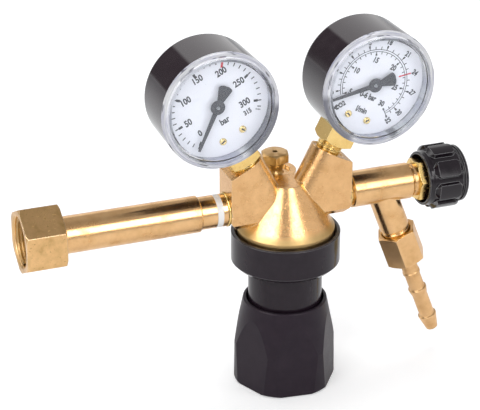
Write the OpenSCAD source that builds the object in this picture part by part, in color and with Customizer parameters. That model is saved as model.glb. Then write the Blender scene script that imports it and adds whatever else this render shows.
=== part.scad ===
// Two gauge cylinder regulator with an outlet needle valve and a hose tail.
// Origin: centre of the inlet nipple's sealing face. +X runs from the inlet to the outlet,
// the gauges face -Y, and the main axis with the adjusting knob below it is parallel to Z.

/* [Main sizes] */
// Distance from the nipple's sealing face to the main axis
inlet_reach = 141; // [125:1:170]
// Distance from the main axis to the outer face of each arm
arm_reach = 34.3; // [32:0.5:40]
// Depth of both arms from front to back
arm_depth = 19; // [18:0.5:22]
// Lean of each arm and its gauge from the vertical
arm_lean = 27; // [22:1:32]
// Distance from the main axis to the middle of an arm's top face
arm_top_x = 23.7; // [22:0.1:26]
// Height of the middle of an arm's top face above the tube axis
arm_top_z = 26; // [24:0.5:30]

/* [Inlet] */
// Width across flats of the inlet nut
nut_af = 32; // [30:1:36]
// Length of the inlet nut
nut_length = 21.4; // [18:0.1:26]
// Diameter of the nut's female thread at its crests
nut_thread_d = 24.1; // [23:0.1:25]
// Thickness of the nut's back wall
nut_wall = 4.4; // [3:0.1:6]
// How far the nut's mouth stands ahead of the nipple
nut_lead = 5.6; // [2:0.1:7]
// Turn of the nut about its axis
nut_turn = 2; // [0:1:59]
// Diameter of the nipple's nose
nose_d = 16; // [14:0.1:18]
// Length of the nipple's nose
nose_length = 6; // [5:0.1:8]
// Diameter of the nipple's collar
collar_d = 23; // [21.5:0.1:23.6]
// Diameter of the inlet tube
inlet_tube_d = 19.7; // [18.5:0.1:20.4]
// Diameter of the tube's narrow end, the pale ring and the adapter
inlet_neck_d = 17.6; // [16.5:0.1:18.4]
// Length of the tube's narrow end
inlet_neck_length = 8.6; // [6:0.1:12]
// Distance from the arm's face to the end of the inlet tube
inlet_tube_gap = 7.2; // [6:0.1:12]
// Width of the pale ring between the tube and its adapter
pale_ring_width = 3.3; // [2:0.1:4.5]
// Diameter of the gas bore in the tube and the adapter
gas_bore_d = 6; // [4:0.1:7]
// Diameter of the inlet filter
filter_d = 9; // [8:0.1:10]
// Length of the inlet filter
filter_length = 10; // [8:0.5:14]

/* [Ports and flange rings] */
// Diameter of the threads that go into the forged body
port_d = 13; // [12:0.1:14]
// Depth of the threaded ports
port_depth = 12.5; // [10:0.5:13]
// Outer diameter of the flange rings
flange_ring_d = 18.4; // [17:0.1:18.8]
// Thickness of the flange rings
flange_ring_t = 1.5; // [1:0.1:2]
// Depth of the spot faces
spot_depth = 0.5; // [0.3:0.1:1]
// Diameter of the narrow neck beside each flange ring
neck_d = 14.4; // [13.8:0.1:15]

/* [Forged body] */
// Diameter of the plateau at the top of the cone
plateau_d = 18.6; // [16:0.1:20]
// Height of the plateau above the tube axis
plateau_z = 11; // [9:0.5:13]
// Height of the cone's base below the tube axis
cone_base_z = -14.5; // [-16:0.1:-13]
// Height of the upright band under the cone
band_height = 2; // [1.5:0.1:3]
// Height of the face that clamps the diaphragm
clamp_z = -27; // [-30:0.1:-25]
// Diameter of the relief valve's boss
boss_d = 23; // [20:0.5:25]
// Distance of the relief valve behind the main axis
relief_y = 16.5; // [15:0.1:18]
// Height of the flat underside of the arms
arm_bottom_z = -9.5; // [-11:0.1:-8]
// Width of the bevels under the arms
arm_bevel = 3.2; // [2:0.1:4]

/* [Union ring and bonnet] */
// Outer diameter of the union ring
ring_d = 59.2; // [57:0.1:64]
// Wall of the union ring round its thread
ring_wall = 3.5; // [3.2:0.1:4]
// Distance from the foot of the cone to the outside of the union ring
ring_margin = 3.1; // [2.6:0.1:3.1]
// Thickness of the union ring's lip
ring_lip = 2.4; // [1.5:0.1:3]
// Width of the bevel round the foot of the union ring
ring_bevel = 2.5; // [1.5:0.1:4.6]
// Diameter of the bonnet's neck
bonnet_d = 40.4; // [38:0.1:41]
// Length of the bonnet's neck under the union ring
bonnet_length = 46; // [44:0.5:48]
// Diameter of the spring's room in the bonnet
spring_room_d = 31.6; // [30:0.1:33]
// Thickness of the bonnet's bottom
bonnet_bottom = 8; // [6:0.5:10]
// Thickness of the diaphragm
diaphragm_t = 1.2; // [0.8:0.1:1.6]
// Thickness of the slip ring
slip_ring_t = 0.6; // [0.4:0.1:1]
// Thickness of the bonnet's flange
bonnet_flange = 5.2; // [4:0.1:6]

/* [Adjusting knob] */
// Diameter of the knob's widest part
knob_d = 56.2; // [54:0.1:60]
// Diameter of the knob's rim
knob_rim_d = 46; // [45:0.1:47]
// Height of the knob
knob_height = 49.2; // [46:0.1:54]
// Height of the knob's upright lower part
knob_skirt = 23.3; // [18:0.1:28]
// Gap between the knob's rim and the bonnet
knob_gap = 1.1; // [0.8:0.1:1.4]
// Depth of the knob's cup
knob_cup = 37.2; // [36:0.1:38]
// Number of flats round the knob
knob_flats = 6; // [5:1:8]
// How deep each flat is cut at the knob's bottom
knob_flat_depth = 1.85; // [1:0.05:2.4]
// Lean of the flats towards the main axis
knob_flat_lean = 2.5; // [1.5:0.1:3]
// Diameter of the adjusting screw
screw_d = 12; // [10:0.5:13]
// Height of the knob's bottom below the tube axis
knob_bottom_z = -107; // [-108:0.5:-106]

/* [Springs and main valve] */
// Outer diameter of the main spring
main_spring_d = 27; // [25:0.5:28]
// Wire diameter of the main spring
main_wire = 3; // [2:0.1:3.2]
// Number of turns of the main spring
main_turns = 6.5; // [5:0.5:6.5]
// Diameter of the valve chamber
valve_chamber_d = 14; // [12:0.5:15]
// Height of the valve cartridge
cartridge_height = 12; // [10:0.5:14]
// Diameter of the valve's push pin
push_pin_d = 2.2; // [1.6:0.1:2.6]

/* [Relief valve] */
// Width across flats of the relief valve's head
relief_af = 14; // [12:0.5:15]
// Height of the relief valve's head
relief_head = 5.2; // [4.5:0.1:9]
// Height of the tapered neck under the head
relief_neck = 6.8; // [3.5:0.1:8]
// Diameter of the vent hole
vent_d = 3; // [2:0.1:4]

/* [Outlet valve] */
// Diameter of the outlet barrel
barrel_d = 19.8; // [19:0.1:20.4]
// Length of the outlet barrel
barrel_length = 35.4; // [34:0.1:40]
// Gap between the arm and the barrel
barrel_gap = 2.3; // [2:0.1:3]
// Distance from the arm to the branch, along the barrel
branch_x = 20.2; // [18:0.1:22]
// Lean of the branch from the vertical
branch_lean = 21; // [15:1:25]
// Diameter of the branch
branch_d = 16.4; // [15.5:0.1:17]
// Width across flats of the bonnet nut
bonnet_nut_af = 21; // [20:0.5:23]
// Length of the bonnet nut
bonnet_nut_length = 10; // [9:0.5:11]
// Diameter of the spindle
spindle_d = 6; // [5:0.1:6.4]

/* [Outlet knob] */
// Diameter over the ribs
rib_d = 35.4; // [34:0.1:38]
// Diameter between the ribs
drum_d = 30.6; // [30:0.1:33]
// Length of the outlet knob
outlet_knob_length = 23.2; // [22:0.1:28]
// Number of ribs
rib_count = 8; // [6:1:9]
// Width of a rib
rib_width = 9; // [6:0.5:10]
// Length of a rib
rib_length = 17; // [14:0.5:17.5]
// Turn of the ribs about the spindle
rib_turn = 9; // [0:1:44]
// Wall of the knob's open skirt
skirt_wall = 1.4; // [1.2:0.1:1.7]

/* [Hose nut and tail] */
// Distance from the barrel's axis to the top of the hose nut
hose_nut_start = 31.3; // [30:0.1:36]
// Width across flats of the hose nut
hose_nut_af = 20; // [19:0.5:22]
// Length of the hose nut
hose_nut_length = 19.7; // [17:0.1:22]
// Turn of the hose nut about its axis
hose_nut_turn = 55; // [0:1:59]
// Outer diameter of the hose tail's shank
shank_d = 9.2; // [8.6:0.1:9.6]
// Outer diameter of the barbs
barb_d = 10.4; // [9.9:0.1:11]
// Distance from one barb to the next
barb_pitch = 19.4; // [16:0.1:22]
// Distance from the nut to the bead on the shank
bead_distance = 9; // [6:0.5:12]
// Length of the tapered tip behind the last barb
tip_length = 9.6; // [8:0.1:12]
// Length of the hose tail under the nut
tail_length = 50.6; // [48:0.1:56]
// Diameter of the bore in the hose tail
tail_bore_d = 5; // [4:0.1:5.6]

/* [Gauges] */
// Diameter of a gauge case
gauge_d = 63; // [60:0.5:64]
// Distance from an arm's top face to the middle of its gauge
gauge_lift = 44; // [43:0.5:48]
// Distance from the stem's axis to the front edge of the case
case_front = 18.4; // [17:0.1:20]
// Distance from the case's front edge to the dial
dial_depth = 6.4; // [5:0.1:7.5]
// Distance from the stem's axis to the back of the case
case_back = 13.3; // [12:0.1:15]
// Wall of the case
case_wall = 2; // [1.5:0.1:2.5]
// How far the lens stands ahead of the case
lens_rise = 3; // [2.5:0.1:4]
// Thickness of the lens
lens_t = 1.5; // [1:0.1:1.8]
// Width of the square on a gauge stem
stem_square = 16; // [15:0.5:17]
// Gap under the square of the high pressure gauge
high_square_gap = 1; // [0.5:0.1:2]
// Gap under the square of the flow gauge
flow_square_gap = 4.5; // [3:0.1:5]
// Length of the pointer from its hub to its tip
pointer_length = 25; // [22:0.5:26]
// Angle of the pointer at rest, clockwise from the top of the dial
pointer_rest = -129; // [-135:1:-125]

/* [Gauge movement] */
// Tooth module of the sector and pinion
tooth_module = 0.4; // [0.36:0.01:0.44]
// Teeth on the pinion
pinion_teeth = 8; // [8:1:9]
// Teeth on a full circle of the sector
sector_circle_teeth = 52; // [48:1:54]
// Teeth on the sector
sector_teeth = 9; // [9:1:11]
// Outer radius of the Bourdon tube's curve
bourdon_r = 22; // [20:0.5:23]
// Arc of the Bourdon tube
bourdon_arc = 250; // [220:5:255]

/* [Hidden] */
$fn = 64;

// Clearances
fixed_gap = 0.05;
running_gap = 0.05;
loose_gap = 0.3;
seat_gap = 0.2;
eps = 0.01;

// Colours
forged_brass = [0.80, 0.64, 0.42];
turned_brass = [0.85, 0.68, 0.40];
gold_brass = [0.90, 0.74, 0.38];
gloss_black = [0.10, 0.09, 0.10];
matt_black = [0.17, 0.16, 0.17];
steel = [0.62, 0.63, 0.65];
pale = [0.93, 0.92, 0.90];

// Places along the inlet
nut_mouth_x = -nut_lead;
nut_back_x = nut_mouth_x + nut_length;
nut_shoulder_x = nut_back_x - nut_wall;
arm_round_r = arm_depth / 2;
inlet_face_x = inlet_reach - arm_reach;
tube_end_x = inlet_face_x - inlet_tube_gap;
tube_step_x = tube_end_x - inlet_neck_length;
adapter_collar_x = tube_end_x + pale_ring_width;
flange_in_x = inlet_face_x + spot_depth;
spigot_r = inlet_neck_d / 2 - 2.75;
spigot_length = 11;
seal_t = 1.4;
seal_r = nose_d / 2 - 1.6;
bore_r = gas_bore_d / 2;

// Places down the main axis
body_thread_d = ring_d - 2 * ring_wall;
cone_base_d = ring_d - 2 * ring_margin;
union_top_z = cone_base_z - band_height - 0.4;
diaphragm_z = clamp_z - diaphragm_t;
slip_z = diaphragm_z - slip_ring_t;
flange_bottom_z = slip_z - bonnet_flange;
union_bottom_z = flange_bottom_z - ring_lip;
bonnet_bottom_z = flange_bottom_z - bonnet_length;
spring_room_z = bonnet_bottom_z + bonnet_bottom;
chamber_r = 20;
chamber_z = clamp_z + 3;
clamp_r = body_thread_d / 2 - 0.5;
plate_t = 2.4;
plate_z = diaphragm_z - plate_t;
locator_r = main_spring_d / 2 - main_wire - 1.2;
locator_h = 3;
spring_plate_t = 3;
spring_plate_z = spring_room_z + 6;
spring_base_z = spring_plate_z + spring_plate_t;
knob_turn = 6.5;
knob_top_z = knob_bottom_z + knob_height;
knob_floor_z = knob_top_z - knob_cup;
screw_head_af = screw_d + 5;
screw_head_h = 8;
screw_tip_r = 3;
screw_tip_h = 2;

// Main valve
valve_roof_z = 4;
cartridge_z = chamber_z + 2;
cartridge_top_z = cartridge_z + cartridge_height;
orifice_r = push_pin_d / 2 + 0.5;
poppet_room_r = valve_chamber_d / 2 - 2.5;
seat_z = cartridge_z + 4;
poppet_h = 5;
poppet_spring_r = poppet_room_r - 1.2;

// Relief valve
relief_seat_z = plateau_z - 1.5;
relief_thread_r = 4.85;
relief_thread_h = 11.5;
relief_room_r = 2.9;
relief_seat_h = 4;
relief_top_z = relief_seat_z + relief_neck + relief_head;
relief_poppet_z = relief_seat_z - relief_thread_h + relief_seat_h;
relief_roof_z = relief_top_z - 2.3;

// Outlet valve, along X
outlet_face_x = inlet_reach + arm_reach;
barrel_x = outlet_face_x + barrel_gap;
barrel_end_x = barrel_x + barrel_length;
bead_gap = 0.7;
bead_width = 2.3;
bonnet_nut_x = barrel_end_x + bead_gap + bead_width;
branch_centre_x = outlet_face_x + branch_x;
valve_seat_x = branch_centre_x - 4.5;
valve_room_r = 5;
disc_t = 3;
nut_thread_len = 8;
bonnet_nut_turn = 20;
outlet_knob_x = bonnet_nut_x + 3.5;
outlet_knob_end = outlet_knob_x + outlet_knob_length;
skirt_depth = 10.5;
cap_t = 1.6;
cap_r = 11;
packing_t = 4;

// Hose nut and tail, along the branch
stub_groove_s = hose_nut_start - 3.3;
stub_end_s = hose_nut_start + 11;
stub_thread_r = branch_d / 2 - 0.5;
hose_nut_end = hose_nut_start + hose_nut_length;
hose_nut_floor = 4.5;
hose_shoulder_s = hose_nut_end - hose_nut_floor;
tail_collar_h = 2.8;
tail_bead_s = hose_nut_end + bead_distance;
tail_end_s = hose_nut_end + tail_length;
second_barb_s = tail_end_s - tip_length;
first_barb_s = second_barb_s - barb_pitch;
tail_tip_r = shank_d / 2 - 1.2;
branch_bore_r = 2;
seat_depth = 4;
seat_slope = 0.8;

// Gauges, in the gauge's own frame with its middle at the origin
case_r = gauge_d / 2;
case_in_r = case_r - case_wall;
case_taper = 0.5;
dial_r = case_in_r - 0.4;
dial_t = 0.8;
dial_front_y = dial_depth - case_front;
dial_back_y = dial_front_y + dial_t;
pointer_t = 0.4;
pointer_tip = 0.65;
pointer_hub_r = 3.8;
pointer_tail = 12;
pointer_fan = 3.9;
pointer_y = dial_front_y - 1.9;
socket_w = 18;
socket_top_z = -16;
socket_foot_z = 2.6 - case_in_r;
socket_back_y = case_back - case_wall;
stem_end_z = -gauge_lift - port_depth + 1;
screw_x = 6;
screw_z = -19.5;
pitch_pinion = tooth_module * pinion_teeth / 2;
pitch_sector = tooth_module * sector_circle_teeth / 2;
pivot_z = -(pitch_pinion + pitch_sector);
gear_back_y = dial_back_y + 5.2;
gear_t = 1.2;
plate_front_y = dial_back_y + 2;
plate_back_y = gear_back_y + 2;
movement_plate_t = 0.8;
movement_w = 16;
movement_h = pivot_z + 3.4 - socket_top_z;
arbor_r = 0.9;
tube_thick = 2.4;
tube_wide = 7;
tube_root = -70;
pocket_start = -12;
pocket_end = 30;
tube_front_y = -tube_wide / 2;
root_x = (bourdon_r - tube_thick / 2) * cos(tube_root);
root_z = (bourdon_r - tube_thick / 2) * sin(tube_root);

function lean(side) = side * arm_lean;

module along_main() {
    translate([inlet_reach, 0, 0]) children();
}

module along_x(x) {
    translate([x, 0, 0]) rotate([0, 90, 0]) children();
}

// Turns a profile of [radius, x] points about the X axis
module lathe_x(points) {
    rotate([0, 90, 0]) rotate_extrude() polygon(points);
}

// Turns a profile of [radius, z] points about the Z axis
module lathe_z(points) {
    rotate_extrude() polygon(points);
}

// Points down the branch: z of the child is the distance from the barrel's axis
module along_branch() {
    translate([branch_centre_x, 0, 0]) rotate([0, 180 - branch_lean, 0]) children();
}

// A hexagonal bar with both ends bevelled as on a lathe
module hex_bar(af, length, bevel_start = 1, bevel_end = 1, turn = 0) {
    corner_r = af / sqrt(3);
    flat_r = af / 2 + 0.35;
    slope = (corner_r - flat_r) * 0.6;
    intersection() {
        rotate([0, 0, turn]) cylinder(r = corner_r, h = length, $fn = 6);
        lathe_z([[0, 0], [bevel_start > 0 ? flat_r : corner_r + 1, 0],
            [corner_r + 0.2, bevel_start > 0 ? slope : 0],
            [corner_r + 0.2, length - (bevel_end > 0 ? slope : 0)],
            [bevel_end > 0 ? flat_r : corner_r + 1, length], [0, length]]);
    }
}

// Helical compression spring standing on z = 0, with closed ends
function coil_z(turn, turns, wire, length) =
    let (closed = wire * 1.02, active = (length - wire - 2 * closed) / (turns - 2))
    turn < 1 ? turn * closed
    : turn > turns - 1 ? length - wire - (turns - turn) * closed
    : closed + (turn - 1) * active;

module coil_spring(outer_d, wire, turns, length, steps = 18, sides = 8) {
    count = ceil(turns * steps);
    coil_r = outer_d / 2 - wire / 2;
    points = [for (i = [0 : count], j = [0 : sides - 1])
        let (turn = i * turns / count, around = 360 * turn, a = 360 * j / sides,
            r = coil_r + wire / 2 * cos(a))
        [r * cos(around), r * sin(around),
            wire / 2 + coil_z(turn, turns, wire, length) + wire / 2 * sin(a)]];
    walls = [for (i = [0 : count - 1], j = [0 : sides - 1])
        let (k = (j + 1) % sides)
        [i * sides + j, i * sides + k, (i + 1) * sides + k, (i + 1) * sides + j]];
    first = [for (j = [0 : sides - 1]) sides - 1 - j];
    last = [for (j = [0 : sides - 1]) count * sides + j];
    polyhedron(points = points, faces = concat(walls, [first], [last]), convexity = 8);
}

// The forged body: a cone with two leaning arms and a boss behind it

// D shaped section of an arm: round towards the main axis, square outwards
module arm_section() {
    circle(r = arm_round_r);
    translate([0, -arm_round_r]) square([arm_reach * 1.5, arm_depth]);
}

// What the arm is trimmed to: upright outer face, flat underside and bevelled lower edges
module arm_limits() {
    top = arm_top_z + arm_depth;
    intersection() {
        translate([0, arm_depth, 0]) rotate([90, 0, 0])
            linear_extrude(2 * arm_depth)
                polygon([[0, arm_bottom_z], [arm_reach - arm_bevel, arm_bottom_z],
                    [arm_reach, arm_bottom_z + 1.5 * arm_bevel], [arm_reach, top], [0, top]]);
        rotate([90, 0, 90])
            linear_extrude(2 * arm_reach)
                polygon([[-arm_depth / 2 + arm_bevel, arm_bottom_z],
                    [arm_depth / 2 - arm_bevel, arm_bottom_z],
                    [arm_depth / 2 + eps, arm_bottom_z + arm_bevel], [arm_depth / 2 + eps, top],
                    [-arm_depth / 2 - eps, top], [-arm_depth / 2 - eps, arm_bottom_z + arm_bevel]]);
    }
}

module on_arm_top() {
    translate([arm_top_x, 0, arm_top_z]) rotate([0, arm_lean, 0]) children();
}

module arm() {
    run = (arm_top_z - arm_bottom_z) / cos(arm_lean) + arm_depth;
    intersection() {
        on_arm_top() translate([0, 0, -run]) linear_extrude(run) arm_section();
        arm_limits();
    }
}

module relief_boss() {
    intersection() {
        translate([0, relief_y, cone_base_z]) cylinder(d = boss_d, h = plateau_z - cone_base_z);
        translate([0, 0, cone_base_z]) cylinder(d = cone_base_d, h = plateau_z - cone_base_z);
    }
}

module body_blank() {
    translate([0, 0, cone_base_z])
        cylinder(d1 = cone_base_d, d2 = plateau_d, h = plateau_z - cone_base_z);
    translate([0, 0, cone_base_z - band_height]) cylinder(d = cone_base_d, h = band_height);
    translate([0, 0, clamp_z])
        cylinder(d = body_thread_d, h = cone_base_z - band_height - clamp_z);
    relief_boss();
    arm();
    mirror([1, 0, 0]) arm();
}

// Threaded port, spot face and drilling of one arm, drilled towards the main axis
module arm_port(drill_to) {
    depth = arm_reach - drill_to;
    along_x(arm_reach - spot_depth) cylinder(d = flange_ring_d + 0.6, h = 2);
    along_x(arm_reach - spot_depth - port_depth) cylinder(d = port_d + 2 * fixed_gap, h = port_depth + 1);
    along_x(drill_to) cylinder(d = gas_bore_d - 1, h = depth);
}

// Gauge port in an arm's top, drilled down to the arm's own gas passage
module gauge_port() {
    drill = arm_top_z / cos(arm_lean);
    on_arm_top() {
        translate([0, 0, -spot_depth]) cylinder(d = flange_ring_d - 0.6, h = 2);
        translate([0, 0, -port_depth]) cylinder(d = port_d + 2 * fixed_gap, h = port_depth + 1);
        translate([0, 0, -drill]) cylinder(d = 3, h = drill);
    }
}

module valve_bores() {
    translate([0, 0, clamp_z - 1]) cylinder(r = chamber_r, h = chamber_z - clamp_z + 1);
    translate([0, 0, chamber_z - 1]) cylinder(d = valve_chamber_d, h = valve_roof_z - chamber_z + 1);
}

module low_pressure_bore() {
    translate([valve_chamber_d / 2 + 8, 0, chamber_z - 1]) cylinder(d = 4, h = 1 - chamber_z);
}

module relief_bores() {
    translate([0, relief_y, relief_seat_z]) cylinder(d = relief_af + 2.6, h = 3);
    translate([0, relief_y, relief_seat_z - relief_thread_h - 0.5])
        cylinder(r = relief_thread_r + fixed_gap, h = relief_thread_h + 1);
    translate([0, relief_y, chamber_z - 1]) cylinder(d = 3, h = relief_seat_z - chamber_z);
}

module body() {
    color(forged_brass)
        along_main()
            difference() {
                body_blank();
                valve_bores();
                low_pressure_bore();
                relief_bores();
                mirror([1, 0, 0]) arm_port(0);
                arm_port(valve_chamber_d / 2 + 2);
                gauge_port();
                mirror([1, 0, 0]) gauge_port();
            }
}

// Inlet

module inlet_stem() {
    tube_r = inlet_tube_d / 2;
    end_r = inlet_neck_d / 2;
    color(turned_brass)
        difference() {
            lathe_x([[0, 0], [nose_d / 2, 0], [nose_d / 2, nose_length],
                [collar_d / 2, nose_length], [collar_d / 2, nut_shoulder_x - seat_gap],
                [tube_r, nut_shoulder_x - seat_gap], [tube_r, tube_step_x - 0.5],
                [tube_r - 0.5, tube_step_x], [end_r, tube_step_x], [end_r, tube_end_x], [0, tube_end_x]]);
            along_x(-1) cylinder(r = bore_r, h = tube_end_x + 2);
            along_x(-1) cylinder(r = seal_r + fixed_gap, h = 1 + seal_t);
            along_x(-1) cylinder(d = filter_d + 2 * fixed_gap, h = 1 + seal_t + filter_length + fixed_gap);
            along_x(tube_end_x - spigot_length - 0.5) cylinder(r = spigot_r + fixed_gap, h = spigot_length + 1);
        }
}

module inlet_seal() {
    color(pale)
        along_x(0)
            difference() {
                cylinder(r = seal_r, h = seal_t);
                translate([0, 0, -1]) cylinder(r = bore_r + 0.5, h = seal_t + 2);
            }
}

// Sintered thimble, open towards the tube
module inlet_filter() {
    color([0.60, 0.50, 0.38])
        along_x(seal_t + fixed_gap)
            difference() {
                cylinder(d = filter_d, h = filter_length - fixed_gap);
                translate([0, 0, 2]) cylinder(d = filter_d - 3, h = filter_length);
            }
}

module inlet_nut() {
    thread_r = nut_thread_d / 2;
    hole_r = inlet_tube_d / 2 + loose_gap;
    groove_r = thread_r + 0.9;
    color(turned_brass)
        translate([nut_mouth_x, 0, 0])
            difference() {
                rotate([0, 90, 0]) hex_bar(nut_af, nut_length, 0, 1, nut_turn);
                lathe_x([[0, -1], [thread_r + 1.6, -1], [thread_r + 0.6, 0], [thread_r, 0.6],
                    [thread_r, nut_length - nut_wall - 3], [groove_r, nut_length - nut_wall - 2.4],
                    [groove_r, nut_length - nut_wall], [hole_r, nut_length - nut_wall],
                    [hole_r, nut_length + 1], [0, nut_length + 1]]);
            }
}

module inlet_pale_ring() {
    color(pale)
        along_x(tube_end_x)
            difference() {
                cylinder(d = inlet_neck_d, h = pale_ring_width);
                translate([0, 0, -1]) cylinder(r = spigot_r + fixed_gap, h = pale_ring_width + 2);
            }
}

module inlet_adapter() {
    port_end_x = inlet_face_x + spot_depth + port_depth - 1;
    color(turned_brass)
        difference() {
            lathe_x([[0, tube_end_x - spigot_length], [spigot_r, tube_end_x - spigot_length],
                [spigot_r, adapter_collar_x], [inlet_neck_d / 2, adapter_collar_x],
                [inlet_neck_d / 2, flange_in_x - flange_ring_t - 0.3],
                [neck_d / 2, flange_in_x - flange_ring_t - 0.3], [neck_d / 2, flange_in_x],
                [port_d / 2, flange_in_x], [port_d / 2, port_end_x], [0, port_end_x]]);
            along_x(tube_end_x - spigot_length - 1) cylinder(r = bore_r, h = inlet_reach);
        }
}

// Thin ring that seals a threaded port on its spot face
module flange_ring(x) {
    color(gold_brass)
        translate([x, 0, 0])
            difference() {
                lathe_x([[0, 0], [flange_ring_d / 2 - 0.3, 0], [flange_ring_d / 2, 0.3],
                    [flange_ring_d / 2, flange_ring_t - 0.3], [flange_ring_d / 2 - 0.3, flange_ring_t],
                    [0, flange_ring_t]]);
                along_x(-1) cylinder(d = neck_d + 2 * fixed_gap, h = flange_ring_t + 2);
            }
}

module inlet_flange_ring() {
    flange_ring(flange_in_x - flange_ring_t);
}

module outlet_flange_ring() {
    flange_ring(outlet_face_x - spot_depth);
}

// Union ring, bonnet and diaphragm

module union_ring() {
    outer = ring_d / 2;
    thread_r = body_thread_d / 2 + fixed_gap;
    lip_r = bonnet_d / 2 + 0.3;
    mouth_r = cone_base_d / 2 + 1.4;
    color(gloss_black)
        along_main()
            lathe_z([[lip_r, union_bottom_z], [outer - ring_bevel, union_bottom_z],
                [outer, union_bottom_z + ring_bevel], [outer, union_top_z - 0.5],
                [outer - 0.5, union_top_z], [mouth_r, union_top_z], [thread_r, union_top_z - 2],
                [thread_r, flange_bottom_z], [lip_r, flange_bottom_z]]);
}

module bonnet() {
    neck_r = bonnet_d / 2;
    room_r = spring_room_d / 2;
    screw_r = screw_d / 2;
    color(gloss_black)
        along_main()
            lathe_z([[screw_r, bonnet_bottom_z], [neck_r - 1, bonnet_bottom_z],
                [neck_r, bonnet_bottom_z + 1], [neck_r, flange_bottom_z],
                [clamp_r, flange_bottom_z], [clamp_r, slip_z], [room_r, slip_z],
                [room_r, spring_room_z], [screw_r, spring_room_z]]);
}

module slip_ring() {
    color(steel)
        along_main()
            translate([0, 0, slip_z])
                difference() {
                    cylinder(r = clamp_r, h = slip_ring_t);
                    translate([0, 0, -1]) cylinder(r = spring_room_d / 2 + 1.2, h = slip_ring_t + 2);
                }
}

module diaphragm() {
    color(matt_black)
        along_main() translate([0, 0, diaphragm_z]) cylinder(r = clamp_r, h = diaphragm_t);
}

module diaphragm_plate() {
    color(turned_brass)
        along_main()
            lathe_z([[0, plate_z - locator_h], [locator_r - 0.8, plate_z - locator_h],
                [locator_r, plate_z - locator_h + 0.8], [locator_r, plate_z],
                [spring_room_d / 2 - 1.8, plate_z], [spring_room_d / 2 - 1.8, diaphragm_z],
                [0, diaphragm_z]]);
}

module main_spring() {
    color(steel)
        along_main()
            translate([0, 0, spring_base_z])
                coil_spring(main_spring_d, main_wire, main_turns, plate_z - spring_base_z);
}

module spring_plate() {
    edge_r = spring_room_d / 2 - 1;
    dimple_r = screw_tip_r + loose_gap;
    color(steel)
        along_main()
            lathe_z([[0, spring_plate_z + 1], [dimple_r, spring_plate_z + 1],
                [dimple_r, spring_plate_z], [edge_r, spring_plate_z], [edge_r, spring_base_z],
                [locator_r, spring_base_z], [locator_r, spring_base_z + locator_h - 0.8],
                [locator_r - 0.8, spring_base_z + locator_h], [0, spring_base_z + locator_h]]);
}

// Adjusting knob with its screw

module adjusting_screw() {
    screw_r = screw_d / 2 - running_gap;
    head_z = knob_floor_z - screw_head_h;
    tip_z = spring_plate_z + 1;
    color(steel)
        along_main() {
            translate([0, 0, head_z]) cylinder(d = screw_head_af / cos(30), h = screw_head_h, $fn = 6);
            lathe_z([[0, knob_floor_z - 1], [screw_r, knob_floor_z - 1],
                [screw_r, tip_z - screw_tip_h], [screw_tip_r, tip_z - screw_tip_h],
                [screw_tip_r, tip_z], [0, tip_z]]);
        }
}

module knob_outline() {
    rim_r = knob_rim_d / 2;
    wide_r = knob_d / 2;
    cup_r = bonnet_d / 2 + knob_gap;
    lathe_z([[0, knob_bottom_z], [wide_r - 0.5, knob_bottom_z], [wide_r, knob_bottom_z + 0.5],
        [wide_r, knob_bottom_z + knob_skirt], [rim_r, knob_top_z - 0.6], [rim_r - 0.5, knob_top_z],
        [cup_r, knob_top_z], [cup_r, knob_floor_z], [0, knob_floor_z]]);
}

module adjusting_knob() {
    wide_r = knob_d / 2;
    color(matt_black)
        along_main()
            difference() {
                knob_outline();
                for (i = [0 : knob_flats - 1])
                    rotate([0, 0, i * 360 / knob_flats - knob_turn])
                        translate([0, knob_flat_depth - wide_r, knob_bottom_z])
                            rotate([-knob_flat_lean, 0, 0])
                                translate([-wide_r, -wide_r, -2]) cube([knob_d, wide_r, knob_height + 2]);
                translate([0, 0, knob_floor_z - screw_head_h])
                    cylinder(d = (screw_head_af + 2 * fixed_gap) / cos(30), h = screw_head_h + 1, $fn = 6);
            }
}

// Main valve

module valve_cartridge() {
    outer = valve_chamber_d / 2 - fixed_gap;
    color(turned_brass)
        along_main()
            lathe_z([[orifice_r, cartridge_z], [outer, cartridge_z], [outer, cartridge_top_z],
                [poppet_room_r, cartridge_top_z], [poppet_room_r, seat_z - 0.6],
                [orifice_r + 1.2, seat_z - 0.6], [orifice_r + 0.6, seat_z], [orifice_r, seat_z]]);
}

module valve_poppet() {
    head_r = poppet_room_r - 0.4;
    color(turned_brass)
        along_main()
            lathe_z([[0, clamp_z + eps], [push_pin_d / 2, clamp_z + eps], [push_pin_d / 2, seat_z],
                [head_r, seat_z], [head_r, seat_z + poppet_h], [poppet_spring_r - 1.4, seat_z + poppet_h],
                [poppet_spring_r - 1.4, seat_z + poppet_h + 3], [0, seat_z + poppet_h + 3]]);
}

module poppet_spring() {
    foot_z = seat_z + poppet_h;
    color(steel)
        along_main()
            translate([0, 0, foot_z])
                coil_spring(2 * poppet_spring_r + 0.8, 0.9, 7, valve_roof_z - foot_z, 12, 6);
}

// Relief valve on the boss

module along_relief() {
    translate([inlet_reach, relief_y, 0]) children();
}

module relief_body() {
    head_z = relief_seat_z + relief_neck;
    foot_z = relief_seat_z - relief_thread_h;
    neck_r = relief_thread_r - 0.7;
    color(turned_brass)
        along_relief()
            difference() {
                union() {
                    translate([0, 0, head_z]) hex_bar(relief_af, relief_head, 1, 1, 15);
                    lathe_z([[0, foot_z], [relief_thread_r, foot_z], [relief_thread_r, relief_seat_z],
                        [neck_r, relief_seat_z], [neck_r, head_z - relief_neck * 0.5],
                        [neck_r + 0.7, head_z - relief_neck * 0.4], [neck_r + 0.7, head_z - relief_neck * 0.25],
                        [relief_af / 2 - 0.4, head_z + eps], [0, head_z + eps]]);
                }
                translate([0, 0, foot_z - 1]) cylinder(r = 1.3, h = relief_seat_h + 2);
                translate([0, 0, relief_poppet_z])
                    cylinder(r = relief_room_r, h = relief_roof_z - relief_poppet_z);
                translate([0, 0, relief_roof_z - 1]) cylinder(d = vent_d, h = 5);
            }
}

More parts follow.
